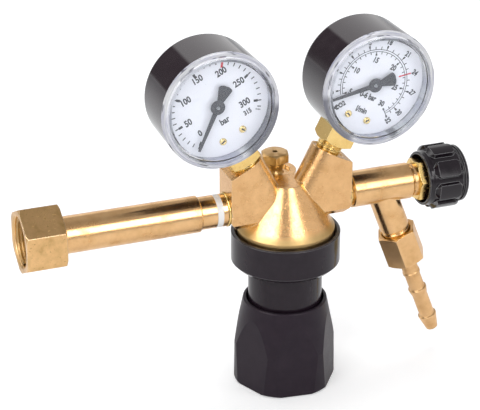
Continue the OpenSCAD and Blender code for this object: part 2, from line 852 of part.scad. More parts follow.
module relief_poppet() {
    stem_top_z = relief_poppet_z + 8;
    color(steel)
        along_relief()
            lathe_z([[0, relief_poppet_z], [relief_room_r - 0.4, relief_poppet_z],
                [relief_room_r - 0.4, relief_poppet_z + 3], [1, relief_poppet_z + 3],
                [1, stem_top_z], [0, stem_top_z]]);
}

module relief_spring() {
    foot_z = relief_poppet_z + 3;
    color(steel)
        along_relief()
            translate([0, 0, foot_z])
                coil_spring(2 * relief_room_r - 0.8, 0.7, 7, relief_roof_z - foot_z, 12, 6);
}

// Outlet valve

module outlet_barrel() {
    barrel_r = barrel_d / 2;
    groove_r = barrel_r - 1.4;
    port_start = outlet_face_x - spot_depth - port_depth + 1;
    lathe_x([[0, port_start], [port_d / 2, port_start], [port_d / 2, outlet_face_x - spot_depth],
        [neck_d / 2, outlet_face_x - spot_depth], [neck_d / 2, barrel_x],
        [barrel_r - 0.6, barrel_x], [barrel_r, barrel_x + 0.6], [barrel_r, barrel_end_x - 0.9],
        [barrel_r - 0.9, barrel_end_x], [groove_r, barrel_end_x],
        [groove_r, barrel_end_x + bead_gap], [groove_r + 0.6, barrel_end_x + bead_gap],
        [groove_r + 0.6, bonnet_nut_x], [0, bonnet_nut_x]]);
}

module outlet_branch() {
    r = branch_d / 2;
    along_branch()
        lathe_z([[0, 0], [r, 0], [r, stub_groove_s], [r - 0.5, stub_groove_s + 0.5],
            [r - 1.1, stub_groove_s + 0.6], [r - 1.1, stub_groove_s + 1.8],
            [stub_thread_r - 0.4, stub_groove_s + 1.9], [stub_thread_r, stub_groove_s + 2.4],
            [stub_thread_r, stub_end_s - 0.8], [stub_thread_r - 0.8, stub_end_s], [0, stub_end_s]]);
}

module outlet_valve_body() {
    color(turned_brass)
        difference() {
            union() {
                outlet_barrel();
                outlet_branch();
            }
            along_x(inlet_reach) cylinder(d = gas_bore_d - 1, h = valve_seat_x - inlet_reach + 1);
            along_x(valve_seat_x) cylinder(r = valve_room_r, h = bonnet_nut_x - valve_seat_x + 1);
            along_x(bonnet_nut_x - nut_thread_len - 0.5)
                cylinder(r = barrel_d / 2 - 2.2 + fixed_gap, h = nut_thread_len + 1);
            along_branch()
                lathe_z([[0, 2], [branch_bore_r, 2], [branch_bore_r, stub_end_s - seat_depth],
                    [branch_bore_r + seat_slope * (seat_depth + 1), stub_end_s + 1], [0, stub_end_s + 1]]);
        }
}

// Gland nut that guides the spindle and closes the barrel
module outlet_bonnet_nut() {
    thread_r = barrel_d / 2 - 2.2;
    packing_x = bonnet_nut_x + 2;
    color(turned_brass)
        difference() {
            union() {
                along_x(bonnet_nut_x) hex_bar(bonnet_nut_af, bonnet_nut_length, 1, 1, bonnet_nut_turn);
                along_x(bonnet_nut_x - nut_thread_len) cylinder(r = thread_r, h = nut_thread_len + 1);
            }
            along_x(bonnet_nut_x - nut_thread_len - 1)
                cylinder(d = spindle_d, h = nut_thread_len + bonnet_nut_length + 2);
            along_x(packing_x) cylinder(r = spindle_d / 2 + 2, h = packing_t);
        }
}

module spindle_packing() {
    packing_x = bonnet_nut_x + 2;
    color(pale)
        along_x(packing_x + fixed_gap)
            difference() {
                cylinder(r = spindle_d / 2 + 2 - fixed_gap, h = packing_t - 2 * fixed_gap);
                translate([0, 0, -1]) cylinder(r = spindle_d / 2, h = packing_t + 2);
            }
}

module outlet_spindle() {
    spindle_r = spindle_d / 2 - running_gap;
    start = valve_seat_x + disc_t;
    color(steel)
        lathe_x([[0, start], [spindle_r - 0.6, start], [spindle_r, start + 0.6],
            [spindle_r, outlet_knob_end - 4], [0, outlet_knob_end - 4]]);
}

module outlet_valve_disc() {
    color(turned_brass)
        lathe_x([[0, valve_seat_x], [valve_room_r - 0.9, valve_seat_x],
            [valve_room_r - 0.4, valve_seat_x + 0.5], [valve_room_r - 0.4, valve_seat_x + disc_t],
            [0, valve_seat_x + disc_t]]);
}

// One rib: an elongated hexagon in outline, raised from the drum
module knob_rib() {
    half = rib_width / 2;
    tip = 3;
    rotate([0, 90, 0])
        linear_extrude(rib_d / 2)
            polygon([[0, -half + tip], [0, half - tip], [-tip, half], [-rib_length + tip, half],
                [-rib_length, half - tip], [-rib_length, -half + tip], [-rib_length + tip, -half],
                [-tip, -half]]);
}

module outlet_knob() {
    drum_r = drum_d / 2;
    skirt_r = bonnet_nut_af / 2 / cos(30) + 1.4 + skirt_wall;
    disc_r = drum_r + 0.4;
    groove_start = outlet_knob_length - 3.5;
    rib_start = outlet_knob_length - rib_length - 3.5;
    color(gloss_black)
        along_x(outlet_knob_x)
            difference() {
                union() {
                    lathe_z([[0, 0], [skirt_r - 0.4, 0], [skirt_r, 0.4], [skirt_r, rib_start - 0.8],
                        [drum_r, rib_start + 1], [drum_r, groove_start],
                        [drum_r - 0.7, groove_start + 0.4], [drum_r - 0.7, groove_start + 1.2],
                        [disc_r, groove_start + 1.5], [disc_r, outlet_knob_length - 0.6],
                        [disc_r - 0.6, outlet_knob_length], [0, outlet_knob_length]]);
                    intersection() {
                        for (i = [0 : rib_count - 1])
                            rotate([0, 0, rib_turn + i * 360 / rib_count])
                                translate([0, 0, rib_start]) knob_rib();
                        translate([0, 0, rib_start])
                            lathe_z([[0, -1], [drum_r - 2, -1], [rib_d / 2, 2.4], [rib_d / 2, rib_length - 1.8],
                                [drum_r - 0.4, rib_length + 0.6], [0, rib_length + 0.6]]);
                    }
                }
                translate([0, 0, -1]) cylinder(r = skirt_r - skirt_wall, h = skirt_depth + 1);
                translate([0, 0, skirt_depth - 1])
                    cylinder(r = spindle_d / 2 + fixed_gap, h = outlet_knob_length - skirt_depth - 3 + fixed_gap);
                translate([0, 0, outlet_knob_length - cap_t]) cylinder(r = cap_r + fixed_gap, h = cap_t + 1);
            }
}

module outlet_knob_cap() {
    color(gloss_black)
        along_x(outlet_knob_end - cap_t)
            lathe_z([[0, 0], [cap_r, 0], [cap_r, cap_t - 0.4], [cap_r - 0.4, cap_t], [0, cap_t]]);
}

// Hose nut and tail

module hose_nut() {
    thread_r = branch_d / 2 - 0.5 + loose_gap;
    hole_r = barb_d / 2 + loose_gap;
    floor_s = hose_nut_length - hose_nut_floor;
    color(turned_brass)
        along_branch()
            translate([0, 0, hose_nut_start])
                difference() {
                    hex_bar(hose_nut_af, hose_nut_length, 1, 1, hose_nut_turn);
                    lathe_z([[0, -1], [thread_r + 1.3, -1], [thread_r + 0.7, 0], [thread_r, 0.7],
                        [thread_r, floor_s], [hole_r, floor_s], [hole_r, hose_nut_length + 1],
                        [0, hose_nut_length + 1]]);
                }
}

module hose_tail() {
    shank_r = shank_d / 2;
    barb_r = barb_d / 2;
    collar_r = branch_d / 2 - 1;
    collar_s = hose_shoulder_s - seat_gap - tail_collar_h;
    nose_h = 2.4;
    nose_r = branch_bore_r + seat_slope * seat_depth - fixed_gap;
    color(turned_brass)
        along_branch()
            difference() {
                lathe_z([[0, stub_end_s - nose_h], [nose_r - seat_slope * nose_h, stub_end_s - nose_h],
                    [nose_r, stub_end_s], [nose_r, collar_s],
                    [collar_r, collar_s], [collar_r, collar_s + tail_collar_h],
                    [shank_r, collar_s + tail_collar_h], [shank_r, tail_bead_s],
                    [shank_r + 0.35, tail_bead_s + 0.4], [shank_r + 0.35, tail_bead_s + 1.6],
                    [shank_r - 0.2, tail_bead_s + 2.2], [shank_r - 0.2, first_barb_s - 0.6],
                    [barb_r, first_barb_s], [barb_r, first_barb_s + 0.8], [shank_r - 0.3, first_barb_s + 5],
                    [shank_r - 0.3, second_barb_s - 0.6], [barb_r, second_barb_s],
                    [barb_r, second_barb_s + 0.8], [tail_tip_r, tail_end_s], [0, tail_end_s]]);
                translate([0, 0, stub_end_s - 3]) cylinder(d = tail_bore_d, h = tail_end_s - stub_end_s + 4);
            }
}

// Gauges

// Gauge frame: origin at the gauge's middle, stem down, face towards -Y
module gauge_frame(side) {
    translate([inlet_reach + side * (arm_top_x + gauge_lift * sin(arm_lean)), 0,
        arm_top_z + gauge_lift * cos(arm_lean)])
        rotate([0, lean(side), 0]) children();
}

// A flat piece between two depths, drawn in the plane of the dial
module dial_plate(front, back) {
    translate([0, back, 0]) rotate([90, 0, 0]) linear_extrude(back - front) children();
}

// Turns a profile of [radius, y] points about the gauge's axis
module lathe_y(points) {
    rotate([90, 0, 0]) rotate_extrude($fn = 96) polygon([for (p = points) [p[0], -p[1]]]);
}

module gauge_stem(side, square_gap, collar) {
    square_z = -gauge_lift + square_gap;
    half = stem_square / 2;
    square_top = socket_foot_z + 1;
    foot_z = -gauge_lift - spot_depth;
    color(gold_brass)
        gauge_frame(side)
            difference() {
                union() {
                    translate([0, 0, stem_end_z]) cylinder(d = port_d, h = square_z - stem_end_z + 1);
                    if (collar)
                        translate([0, 0, foot_z]) cylinder(d = stem_square + 1, h = square_z - foot_z);
                    intersection() {
                        translate([-half, -half, square_z])
                            cube([stem_square, stem_square, square_top - square_z]);
                        lathe_z([[0, square_z], [half + 0.4, square_z], [half * 1.45, square_z + 1.8],
                            [half * 1.45, square_top], [0, square_top]]);
                    }
                    translate([-socket_w / 2, dial_back_y, socket_foot_z])
                        cube([socket_w, socket_back_y - dial_back_y, socket_top_z - socket_foot_z]);
                }
                translate([0, 0, stem_end_z - 1]) cylinder(d = 3, h = root_z - stem_end_z + 2);
                translate([0, tube_front_y + tube_wide / 2, root_z]) rotate([0, 90, 0])
                    cylinder(d = 2, h = root_x + 1);
                tube_sweep(pocket_start, pocket_end, -fixed_gap);
                for (x = [-screw_x, screw_x])
                    translate([x, dial_back_y + 5, screw_z]) rotate([90, 0, 0])
                        cylinder(r = 1.1, h = 6);
            }
}

module gauge_case(side) {
    r = case_r;
    back_r = r - case_taper;
    color(gloss_black)
        gauge_frame(side)
            difference() {
                lathe_y([[0, case_back], [back_r - 3, case_back], [back_r - 0.9, case_back - 0.9],
                    [back_r, case_back - 3], [r, -case_front], [case_in_r, -case_front],
                    [case_in_r, case_back - case_wall - 1], [case_in_r - 1, case_back - case_wall],
                    [0, case_back - case_wall]]);
                translate([0, 0, -r - 1]) cube([stem_square + 0.6, stem_square + 0.6, 12], center = true);
            }
}

module gauge_lens(side) {
    front = -case_front - lens_rise;
    rim_r = case_in_r - fixed_gap;
    wall = 1.4;
    color([0.80, 0.86, 0.92, 0.35])
        gauge_frame(side)
            lathe_y([[0, front], [case_r - 3.4, front], [case_r - 2.6, front + 0.4],
                [case_r - 2.2, front + 1.3], [case_r - 0.9, front + 1.4], [case_r, front + 1.9],
                [case_r, -case_front], [rim_r, -case_front], [rim_r, dial_front_y],
                [rim_r - wall, dial_front_y], [rim_r - wall, front + lens_t + 1.4],
                [rim_r - wall - 1.4, front + lens_t], [0, front + lens_t]]);
}

module gauge_dial(side) {
    color([0.96, 0.97, 0.98])
        gauge_frame(side)
            dial_plate(dial_front_y, dial_back_y)
                difference() {
                    circle(r = dial_r);
                    circle(r = 2.2);
                    for (x = [-screw_x, screw_x]) translate([x, screw_z]) circle(r = 1.2, $fn = 24);
                }
}

module dial_screws(side) {
    color(gold_brass)
        gauge_frame(side)
            for (x = [-screw_x, screw_x])
                translate([x, 0, screw_z])
                    difference() {
                        lathe_y([[0, dial_front_y - 0.9], [1.5, dial_front_y - 0.9],
                            [1.9, dial_front_y - 0.5], [1.9, dial_front_y], [1, dial_front_y],
                            [1, dial_back_y + 4], [0, dial_back_y + 4]]);
                        translate([-2.5, dial_front_y - 1.4, -0.25]) cube([5, 0.9, 0.5]);
                    }
}

// Flattened tube bent to an open circle, from the socket to its free tip
module bourdon_tube(side) {
    color(turned_brass)
        gauge_frame(side)
            difference() {
                tube_sweep(0, bourdon_arc, 0);
                tube_sweep(-1, bourdon_arc - 1, 0.4);
            }
}

// The tube's path from one angle past its root to another; wall shrinks the section
module tube_sweep(from, to, wall) {
    rotate([90, 0, 0])
        translate([0, 0, -tube_front_y - tube_wide])
            rotate([0, 0, tube_root + from])
                rotate_extrude(angle = to - from, $fn = 96) tube_section(wall);
}

module tube_section(wall) {
    x0 = bourdon_r - tube_thick + wall;
    x1 = bourdon_r - wall;
    nip = 0.7;
    polygon([[x0 + nip, wall], [x1 - nip, wall], [x1, wall + nip], [x1, tube_wide - wall - nip],
        [x1 - nip, tube_wide - wall], [x0 + nip, tube_wide - wall], [x0, tube_wide - wall - nip],
        [x0, wall + nip]]);
}

// Two plates on pillars that carry the sector and the pinion
module movement(side) {
    pillar_r = 1.3;
    color(turned_brass)
        gauge_frame(side) {
            dial_plate(plate_front_y, plate_front_y + movement_plate_t) movement_plate();
            dial_plate(plate_back_y - movement_plate_t, plate_back_y) movement_plate();
            dial_plate(plate_front_y, plate_back_y)
                for (x = [-1, 1])
                    translate([x * (movement_w / 2 - 1.8), pivot_z + 1.4]) circle(r = pillar_r, $fn = 24);
        }
}

module movement_plate() {
    difference() {
        union() {
            translate([-movement_w / 2, socket_top_z]) square([movement_w, movement_h]);
            translate([-3, pivot_z]) square([6, 2.6 - pivot_z]);
            circle(r = 3);
        }
        circle(r = arbor_r + running_gap, $fn = 24);
        translate([0, pivot_z]) circle(r = arbor_r + running_gap, $fn = 24);
    }
}

// Tooth standing on a circle, narrow enough to leave backlash
module tooth(pitch_r, depth_in, depth_out) {
    half = tooth_module * PI * 0.17;
    polygon([[pitch_r - depth_in, -half * 1.5], [pitch_r, -half], [pitch_r + depth_out, -half * 0.45],
        [pitch_r + depth_out, half * 0.45], [pitch_r, half], [pitch_r - depth_in, half * 1.5]]);
}

addendum = tooth_module * 0.75;
dedendum = tooth_module * 1.15;
sector_span = 360 / sector_circle_teeth;

// The sector swings on the lower pivot; its first teeth mesh at rest
module sector(side) {
    root_r = pitch_sector - dedendum;
    first = -(sector_teeth - 2) * sector_span;
    color(gold_brass)
        gauge_frame(side) {
            dial_plate(gear_back_y - gear_t, gear_back_y)
                translate([0, pivot_z])
                    rotate([0, 0, 90]) {
                        difference() {
                            intersection() {
                                circle(r = root_r + 0.1);
                                polygon([[0, 0], for (i = [0 : 6])
                                    let (a = first - sector_span / 2 + i * sector_teeth * sector_span / 6)
                                    [1.3 * root_r * cos(a), 1.3 * root_r * sin(a)]]);
                            }
                            circle(r = root_r - 2);
                        }
                        rotate([0, 0, first + (sector_teeth - 1) * sector_span / 2])
                            translate([0, -1.2]) square([root_r - 1.5, 2.4]);
                        circle(r = 2);
                        for (i = [0 : sector_teeth - 1])
                            rotate([0, 0, first + i * sector_span]) tooth(pitch_sector, dedendum, addendum);
                    }
            translate([0, plate_back_y, pivot_z]) rotate([90, 0, 0])
                cylinder(r = arbor_r, h = plate_back_y - plate_front_y, $fn = 24);
        }
}

module pinion(side) {
    root_r = pitch_pinion - dedendum;
    color(steel)
        gauge_frame(side) {
            dial_plate(gear_back_y - gear_t, gear_back_y)
                rotate([0, 0, -90 + 180 / pinion_teeth]) {
                    circle(r = root_r + 0.05, $fn = 24);
                    for (i = [0 : pinion_teeth - 1])
                        rotate([0, 0, i * 360 / pinion_teeth]) tooth(pitch_pinion, dedendum, addendum);
                }
            translate([0, plate_back_y, 0]) rotate([90, 0, 0])
                cylinder(r = arbor_r, h = plate_back_y - pointer_y + pointer_t + 0.5, $fn = 24);
        }
}

// Blunt arm with a counterweight that fans out to a rounded end
module pointer_outline() {
    polygon([[-pointer_tip, pointer_length], [pointer_tip, pointer_length], [1.3, 2], [1.6, -3],
        [pointer_fan, 1.6 - pointer_tail], [pointer_fan * 0.8, 0.7 - pointer_tail],
        [pointer_fan * 0.4, 0.15 - pointer_tail], [-pointer_fan * 0.4, 0.15 - pointer_tail],
        [-pointer_fan * 0.8, 0.7 - pointer_tail], [-pointer_fan, 1.6 - pointer_tail], [-1.6, -3], [-1.3, 2]]);
}

module pointer(side) {
    color([0.25, 0.25, 0.28])
        gauge_frame(side)
            rotate([0, pointer_rest, 0])
                difference() {
                    union() {
                        dial_plate(pointer_y - pointer_t, pointer_y)
                            pointer_outline();
                        dial_plate(pointer_y - pointer_t - 0.3, pointer_y) circle(r = pointer_hub_r, $fn = 32);
                    }
                    translate([0, pointer_y + 1, 0]) rotate([90, 0, 0])
                        cylinder(r = arbor_r + fixed_gap, h = 3, $fn = 24);
                }
}

body();
inlet_adapter();
inlet_stem();
inlet_pale_ring();
inlet_flange_ring();
inlet_nut();
inlet_seal();
inlet_filter();
union_ring();
bonnet();
slip_ring();
diaphragm();
diaphragm_plate();
main_spring();
spring_plate();
adjusting_screw();
adjusting_knob();
valve_cartridge();
valve_poppet();
poppet_spring();
relief_body();
relief_poppet();
relief_spring();
outlet_flange_ring();
outlet_valve_body();
outlet_bonnet_nut();
outlet_spindle();
spindle_packing();
outlet_valve_disc();
outlet_knob();
outlet_knob_cap();
hose_nut();
hose_tail();
gauge_stem(-1, high_square_gap, true);  // high_gauge_stem
gauge_case(-1);  // high_gauge_case
gauge_lens(-1);  // high_gauge_lens
gauge_dial(-1);  // high_gauge_dial
dial_screws(-1);  // high_dial_screws
bourdon_tube(-1);  // high_bourdon_tube
movement(-1);  // high_movement
sector(-1);  // high_sector
pinion(-1);  // high_pinion
pointer(-1);  // high_pointer
gauge_stem(1, flow_square_gap, false);  // flow_gauge_stem
gauge_case(1);  // flow_gauge_case
gauge_lens(1);  // flow_gauge_lens
gauge_dial(1);  // flow_gauge_dial
dial_screws(1);  // flow_dial_screws
bourdon_tube(1);  // flow_bourdon_tube
movement(1);  // flow_movement
sector(1);  // flow_sector
pinion(1);  // flow_pinion
pointer(1);  // flow_pointer
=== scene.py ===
import bpy
import math
from mathutils import Matrix, Vector


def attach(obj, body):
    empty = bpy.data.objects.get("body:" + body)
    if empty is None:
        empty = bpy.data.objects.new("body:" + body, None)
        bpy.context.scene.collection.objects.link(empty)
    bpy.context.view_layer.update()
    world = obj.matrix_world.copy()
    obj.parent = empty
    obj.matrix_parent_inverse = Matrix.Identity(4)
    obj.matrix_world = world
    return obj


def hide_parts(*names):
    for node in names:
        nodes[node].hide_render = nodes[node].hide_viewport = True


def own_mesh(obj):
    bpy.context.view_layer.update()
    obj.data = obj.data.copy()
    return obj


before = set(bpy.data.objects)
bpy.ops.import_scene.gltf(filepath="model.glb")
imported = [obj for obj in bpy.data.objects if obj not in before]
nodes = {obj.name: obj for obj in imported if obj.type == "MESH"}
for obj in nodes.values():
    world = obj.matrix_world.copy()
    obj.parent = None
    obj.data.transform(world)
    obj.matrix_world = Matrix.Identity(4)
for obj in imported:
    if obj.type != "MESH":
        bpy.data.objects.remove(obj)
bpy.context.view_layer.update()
print("frame loaded:", len(nodes), "nodes")

# places of the arms, gauges and branch in the solids, in metres and degrees
regulator = {"reach": 0.141, "lean": 27.0, "armX": 0.0237, "armZ": 0.026, "gaugeLift": 0.044, "branchLean": 21.0}
alongX = Matrix.Rotation(math.radians(90), 4, 'Y')  # lays a piece made along Z down along X


# working helpers

def deselectAll():
    if bpy.context.object and bpy.context.object.mode != 'OBJECT':
        bpy.ops.object.mode_set(mode='OBJECT')
    bpy.ops.object.select_all(action='DESELECT')


def pick(piece):
    deselectAll()
    piece.select_set(True)
    bpy.context.view_layer.objects.active = piece


def settle(piece, matrix=None):  # puts a piece's place into its mesh
    pick(piece)
    if matrix is not None:
        piece.matrix_world = matrix @ piece.matrix_world
    bpy.ops.object.transform_apply(location=True, rotation=True, scale=True)


def join(pieces, name):
    deselectAll()
    for piece in pieces:
        piece.select_set(True)
    bpy.context.view_layer.objects.active = pieces[0]
    if len(pieces) > 1:
        bpy.ops.object.join()
    pieces[0].name = name
    pieces[0].data.name = name
    return pieces[0]


def mergePoints(piece):
    pick(piece)
    bpy.ops.object.mode_set(mode='EDIT')
    bpy.ops.mesh.select_all(action='SELECT')
    bpy.ops.mesh.remove_doubles(threshold=0.000001)
    bpy.ops.object.mode_set(mode='OBJECT')


def copyNode(node, name):  # merged copy of a solid, to be shaped
    deselectAll()
    piece = bpy.data.objects.new(name, nodes[node].data.copy())
    bpy.context.collection.objects.link(piece)
    piece.matrix_world = nodes[node].matrix_world.copy()
    settle(piece)
    mergePoints(piece)
    return piece


def drawProfile(points, edges):  # loose edges, to be spun or screwed into a surface
    deselectAll()
    bpy.ops.mesh.primitive_circle_add(vertices=3, radius=0.001)
    profile = bpy.context.object
    bpy.ops.object.mode_set(mode='EDIT')
    bpy.ops.mesh.select_all(action='SELECT')
    bpy.ops.mesh.delete(type='VERT')
    bpy.ops.object.mode_set(mode='OBJECT')
    profile.data.from_pydata(points, edges, [])
    return profile


def addTaper(radius, length, along, scale):  # cylinder along Z whose ends may run in to a smaller circle
    bpy.ops.mesh.primitive_cylinder_add(vertices=96, radius=radius, depth=length)
    piece = bpy.context.object
    for side in (-1, 1):
        if scale[side > 0] == 1.0:
            continue
        bpy.ops.object.mode_set(mode='EDIT')
        bpy.ops.mesh.select_all(action='DESELECT')
        bpy.ops.object.mode_set(mode='OBJECT')
        for face in piece.data.polygons:
            face.select = face.normal.z * side > 0.9 and face.center.z * side > 0
        bpy.ops.object.mode_set(mode='EDIT')
        bpy.ops.mesh.extrude_region_move(TRANSFORM_OT_translate={"value": (0, 0, side * along)})
        bpy.ops.transform.resize(value=(scale[side > 0], scale[side > 0], 1), center_override=(0, 0, 0))
        bpy.ops.object.mode_set(mode='OBJECT')
    return piece


def carve(piece, tool, operation):
    cut = piece.modifiers.new("cut", 'BOOLEAN')
    cut.operation = operation
    cut.solver = 'EXACT'
    cut.object = tool
    pick(piece)
    bpy.ops.object.modifier_apply(modifier="cut")
    bpy.data.objects.remove(tool, do_unlink=True)


def gaugeMatrix(side):  # a gauge's own frame: stem down -Z, face towards -Y
    lean = math.radians(regulator["lean"] * side)
    x = regulator["reach"] + side * (regulator["armX"] + regulator["gaugeLift"] * math.sin(abs(lean)))
    z = regulator["armZ"] + regulator["gaugeLift"] * math.cos(lean)
    return Matrix.Translation((x, 0, z)) @ Matrix.Rotation(lean, 4, 'Y')


# shader node helpers

def newGroup(name, inputs, outputs):
    group = bpy.data.node_groups.new(name, 'ShaderNodeTree')
    for socketName, kind, value in inputs:
        socket = group.interface.new_socket(name=socketName, in_out='INPUT', socket_type=kind)
        if value is not None:
            socket.default_value = value
    for socketName, kind in outputs:
        group.interface.new_socket(name=socketName, in_out='OUTPUT', socket_type=kind)
    return group, group.nodes.new('NodeGroupInput'), group.nodes.new('NodeGroupOutput')


def useGroup(tree, group, **values):
    node = tree.nodes.new('ShaderNodeGroup')
    node.node_tree = group
    for key, value in values.items():
        if isinstance(value, (int, float)):
            node.inputs[key].default_value = value
        else:
            tree.links.new(value, node.inputs[key])
    return node


def mathNode(tree, operation, a, b=0.5, clamp=False):
    node = tree.nodes.new('ShaderNodeMath')
    node.operation = operation
    node.use_clamp = clamp
    for i, value in enumerate((a, b)):
        if isinstance(value, (int, float)):
            node.inputs[i].default_value = value
        else:
            tree.links.new(value, node.inputs[i])
    return node.outputs[0]


def vectorNode(tree, operation, vector, fixed):  # vector math with one linked and one fixed vector
    node = tree.nodes.new('ShaderNodeVectorMath')
    node.operation = operation
    tree.links.new(vector, node.inputs[0])
    node.inputs[1].default_value = fixed
    return node


def rampNode(tree, value, stops):
    node = tree.nodes.new('ShaderNodeValToRGB')
    tree.links.new(value, node.inputs[0])
    ramp = node.color_ramp
    ramp.elements[0].position, ramp.elements[0].color = stops[0][0], (*[stops[0][1]] * 3, 1)
    ramp.elements[1].position, ramp.elements[1].color = stops[-1][0], (*[stops[-1][1]] * 3, 1)
    for place, level in stops[1:-1]:
        ramp.elements.new(place).color = (level, level, level, 1)
    return node.outputs[0]


def noiseNode(tree, vector, scale, detail=3.0, rough=0.5):
    node = tree.nodes.new('ShaderNodeTexNoise')
    tree.links.new(vector, node.inputs['Vector'])
    if isinstance(scale, (int, float)):
        node.inputs['Scale'].default_value = scale
    else:
        tree.links.new(scale, node.inputs['Scale'])
    node.inputs['Detail'].default_value = detail
    node.inputs['Roughness'].default_value = rough
    return node.outputs[0]


def mixColor(tree, factor, a, b):
    node = tree.nodes.new('ShaderNodeMix')
    node.data_type = 'RGBA'
    tree.links.new(factor, node.inputs[0])
    for i, value in ((6, a), (7, b)):
        if isinstance(value, (tuple, list)):
            node.inputs[i].default_value = (*value, 1)
        else:
            tree.links.new(value, node.inputs[i])
    return node.outputs[2]


def startMaterial(name):
    material = bpy.data.materials.new(name)
    material.use_nodes = True
    tree = material.node_tree
    tree.nodes.clear()
    out = tree.nodes.new('ShaderNodeOutputMaterial')
    shader = tree.nodes.new('ShaderNodeBsdfPrincipled')
    tree.links.new(shader.outputs[0], out.inputs[0])
    coords = tree.nodes.new('ShaderNodeTexCoord').outputs['Object']
    return material, tree, shader, coords


def outputOf(tree):
    return next(node for node in tree.nodes if node.type == 'OUTPUT_MATERIAL')


def turnTo(tree, coords, axis):  # coordinates whose X runs along the given axis
    mapping = tree.nodes.new('ShaderNodeMapping')
    mapping.vector_type = 'POINT'
    rotation = Vector(axis).rotation_difference(Vector((1, 0, 0))).to_euler()
    mapping.inputs['Rotation'].default_value = rotation
    tree.links.new(coords, mapping.inputs['Vector'])
    return mapping.outputs[0]


# shader node groups

edgeLook = {"samples": 6, "gain": 6.0, "bumpDistance": 0.0002}
turnedLook = {"rings": 2600.0, "along": 0.02, "smudge": 95.0, "marks": [(0.34, 0.0), (0.52, 0.35), (0.72, 1.0)]}
forgedLook = {"grit": 1500.0, "waves": 320.0, "gritShare": 0.45, "waveShare": 0.9, "stain": 120.0,
              "marks": [(0.33, 0.0), (0.55, 0.4), (0.74, 1.0)], "pit": 640.0,
              "pitEdge": [(0.60, 0.0), (0.68, 1.0)], "pitDepth": 2.0}


def makeEdgeGroup():  # rounded edges and a mask along them
    group, gin, gout = newGroup("roundedEdge",
                                [("Radius", 'NodeSocketFloat', 0.0003), ("Height", 'NodeSocketFloat', 0.0),
                                 ("Bump", 'NodeSocketFloat', 0.2)],
                                [("Normal", 'NodeSocketVector'), ("Edge", 'NodeSocketFloat')])
    bevel = group.nodes.new('ShaderNodeBevel')
    bevel.samples = edgeLook["samples"]
    group.links.new(gin.outputs['Radius'], bevel.inputs['Radius'])
    geometry = group.nodes.new('ShaderNodeNewGeometry')
    dot = group.nodes.new('ShaderNodeVectorMath')
    dot.operation = 'DOT_PRODUCT'
    group.links.new(bevel.outputs[0], dot.inputs[0])
    group.links.new(geometry.outputs['Normal'], dot.inputs[1])
    edge = mathNode(group, 'SUBTRACT', 1.0, dot.outputs['Value'], clamp=True)
    edge = mathNode(group, 'MULTIPLY', edge, edgeLook["gain"], clamp=True)
    bump = group.nodes.new('ShaderNodeBump')
    bump.inputs['Distance'].default_value = edgeLook["bumpDistance"]
    group.links.new(gin.outputs['Bump'], bump.inputs['Strength'])
    group.links.new(gin.outputs['Height'], bump.inputs['Height'])
    group.links.new(bevel.outputs[0], bump.inputs['Normal'])
    group.links.new(bump.outputs[0], gout.inputs['Normal'])
    group.links.new(edge, gout.inputs['Edge'])
    return group


def makeTurnedGroup():  # fine rings round the local X axis, with handling marks
    group, gin, gout = newGroup("turnedGrain",
                                [("Vector", 'NodeSocketVector', None), ("Rings", 'NodeSocketFloat', 2600.0)],
                                [("Height", 'NodeSocketFloat'), ("Marks", 'NodeSocketFloat')])
    along = turnedLook["along"]
    stretch = vectorNode(group, 'MULTIPLY', gin.outputs['Vector'], (1.0, along, along))
    rings = noiseNode(group, stretch.outputs[0], gin.outputs['Rings'], 4.0, 0.6)
    smudge = noiseNode(group, gin.outputs['Vector'], turnedLook["smudge"], 4.0, 0.62)
    group.links.new(rings, gout.inputs['Height'])
    group.links.new(rampNode(group, smudge, turnedLook["marks"]), gout.inputs['Marks'])
    return group


def makeForgedGroup():  # skin of a forging: fine grit over slow waves, and pits if asked for
    look = forgedLook
    group, gin, gout = newGroup("forgedSkin",
                                [("Vector", 'NodeSocketVector', None), ("Grit", 'NodeSocketFloat', 1500.0),
                                 ("Pits", 'NodeSocketFloat', 0.0)],
                                [("Height", 'NodeSocketFloat'), ("Marks", 'NodeSocketFloat')])
    vector = gin.outputs['Vector']
    grit = mathNode(group, 'MULTIPLY', noiseNode(group, vector, gin.outputs['Grit'], 3.0, 0.6), look["gritShare"])
    waves = mathNode(group, 'MULTIPLY', noiseNode(group, vector, look["waves"], 2.0, 0.5), look["waveShare"])
    height = mathNode(group, 'ADD', grit, waves)
    marks = rampNode(group, noiseNode(group, vector, look["stain"], 5.0, 0.65), look["marks"])
    pits = rampNode(group, noiseNode(group, vector, look["pit"], 3.0, 0.55), look["pitEdge"])
    pits = mathNode(group, 'MULTIPLY', pits, gin.outputs['Pits'])
    height = mathNode(group, 'SUBTRACT', height, mathNode(group, 'MULTIPLY', pits, look["pitDepth"]))
    group.links.new(height, gout.inputs['Height'])
    group.links.new(mathNode(group, 'MAXIMUM', marks, pits), gout.inputs['Marks'])
    return group


edgeGroup = makeEdgeGroup()
turnedGroup = makeTurnedGroup()
forgedGroup = makeForgedGroup()
print("node groups:", len(bpy.data.node_groups))


# metals

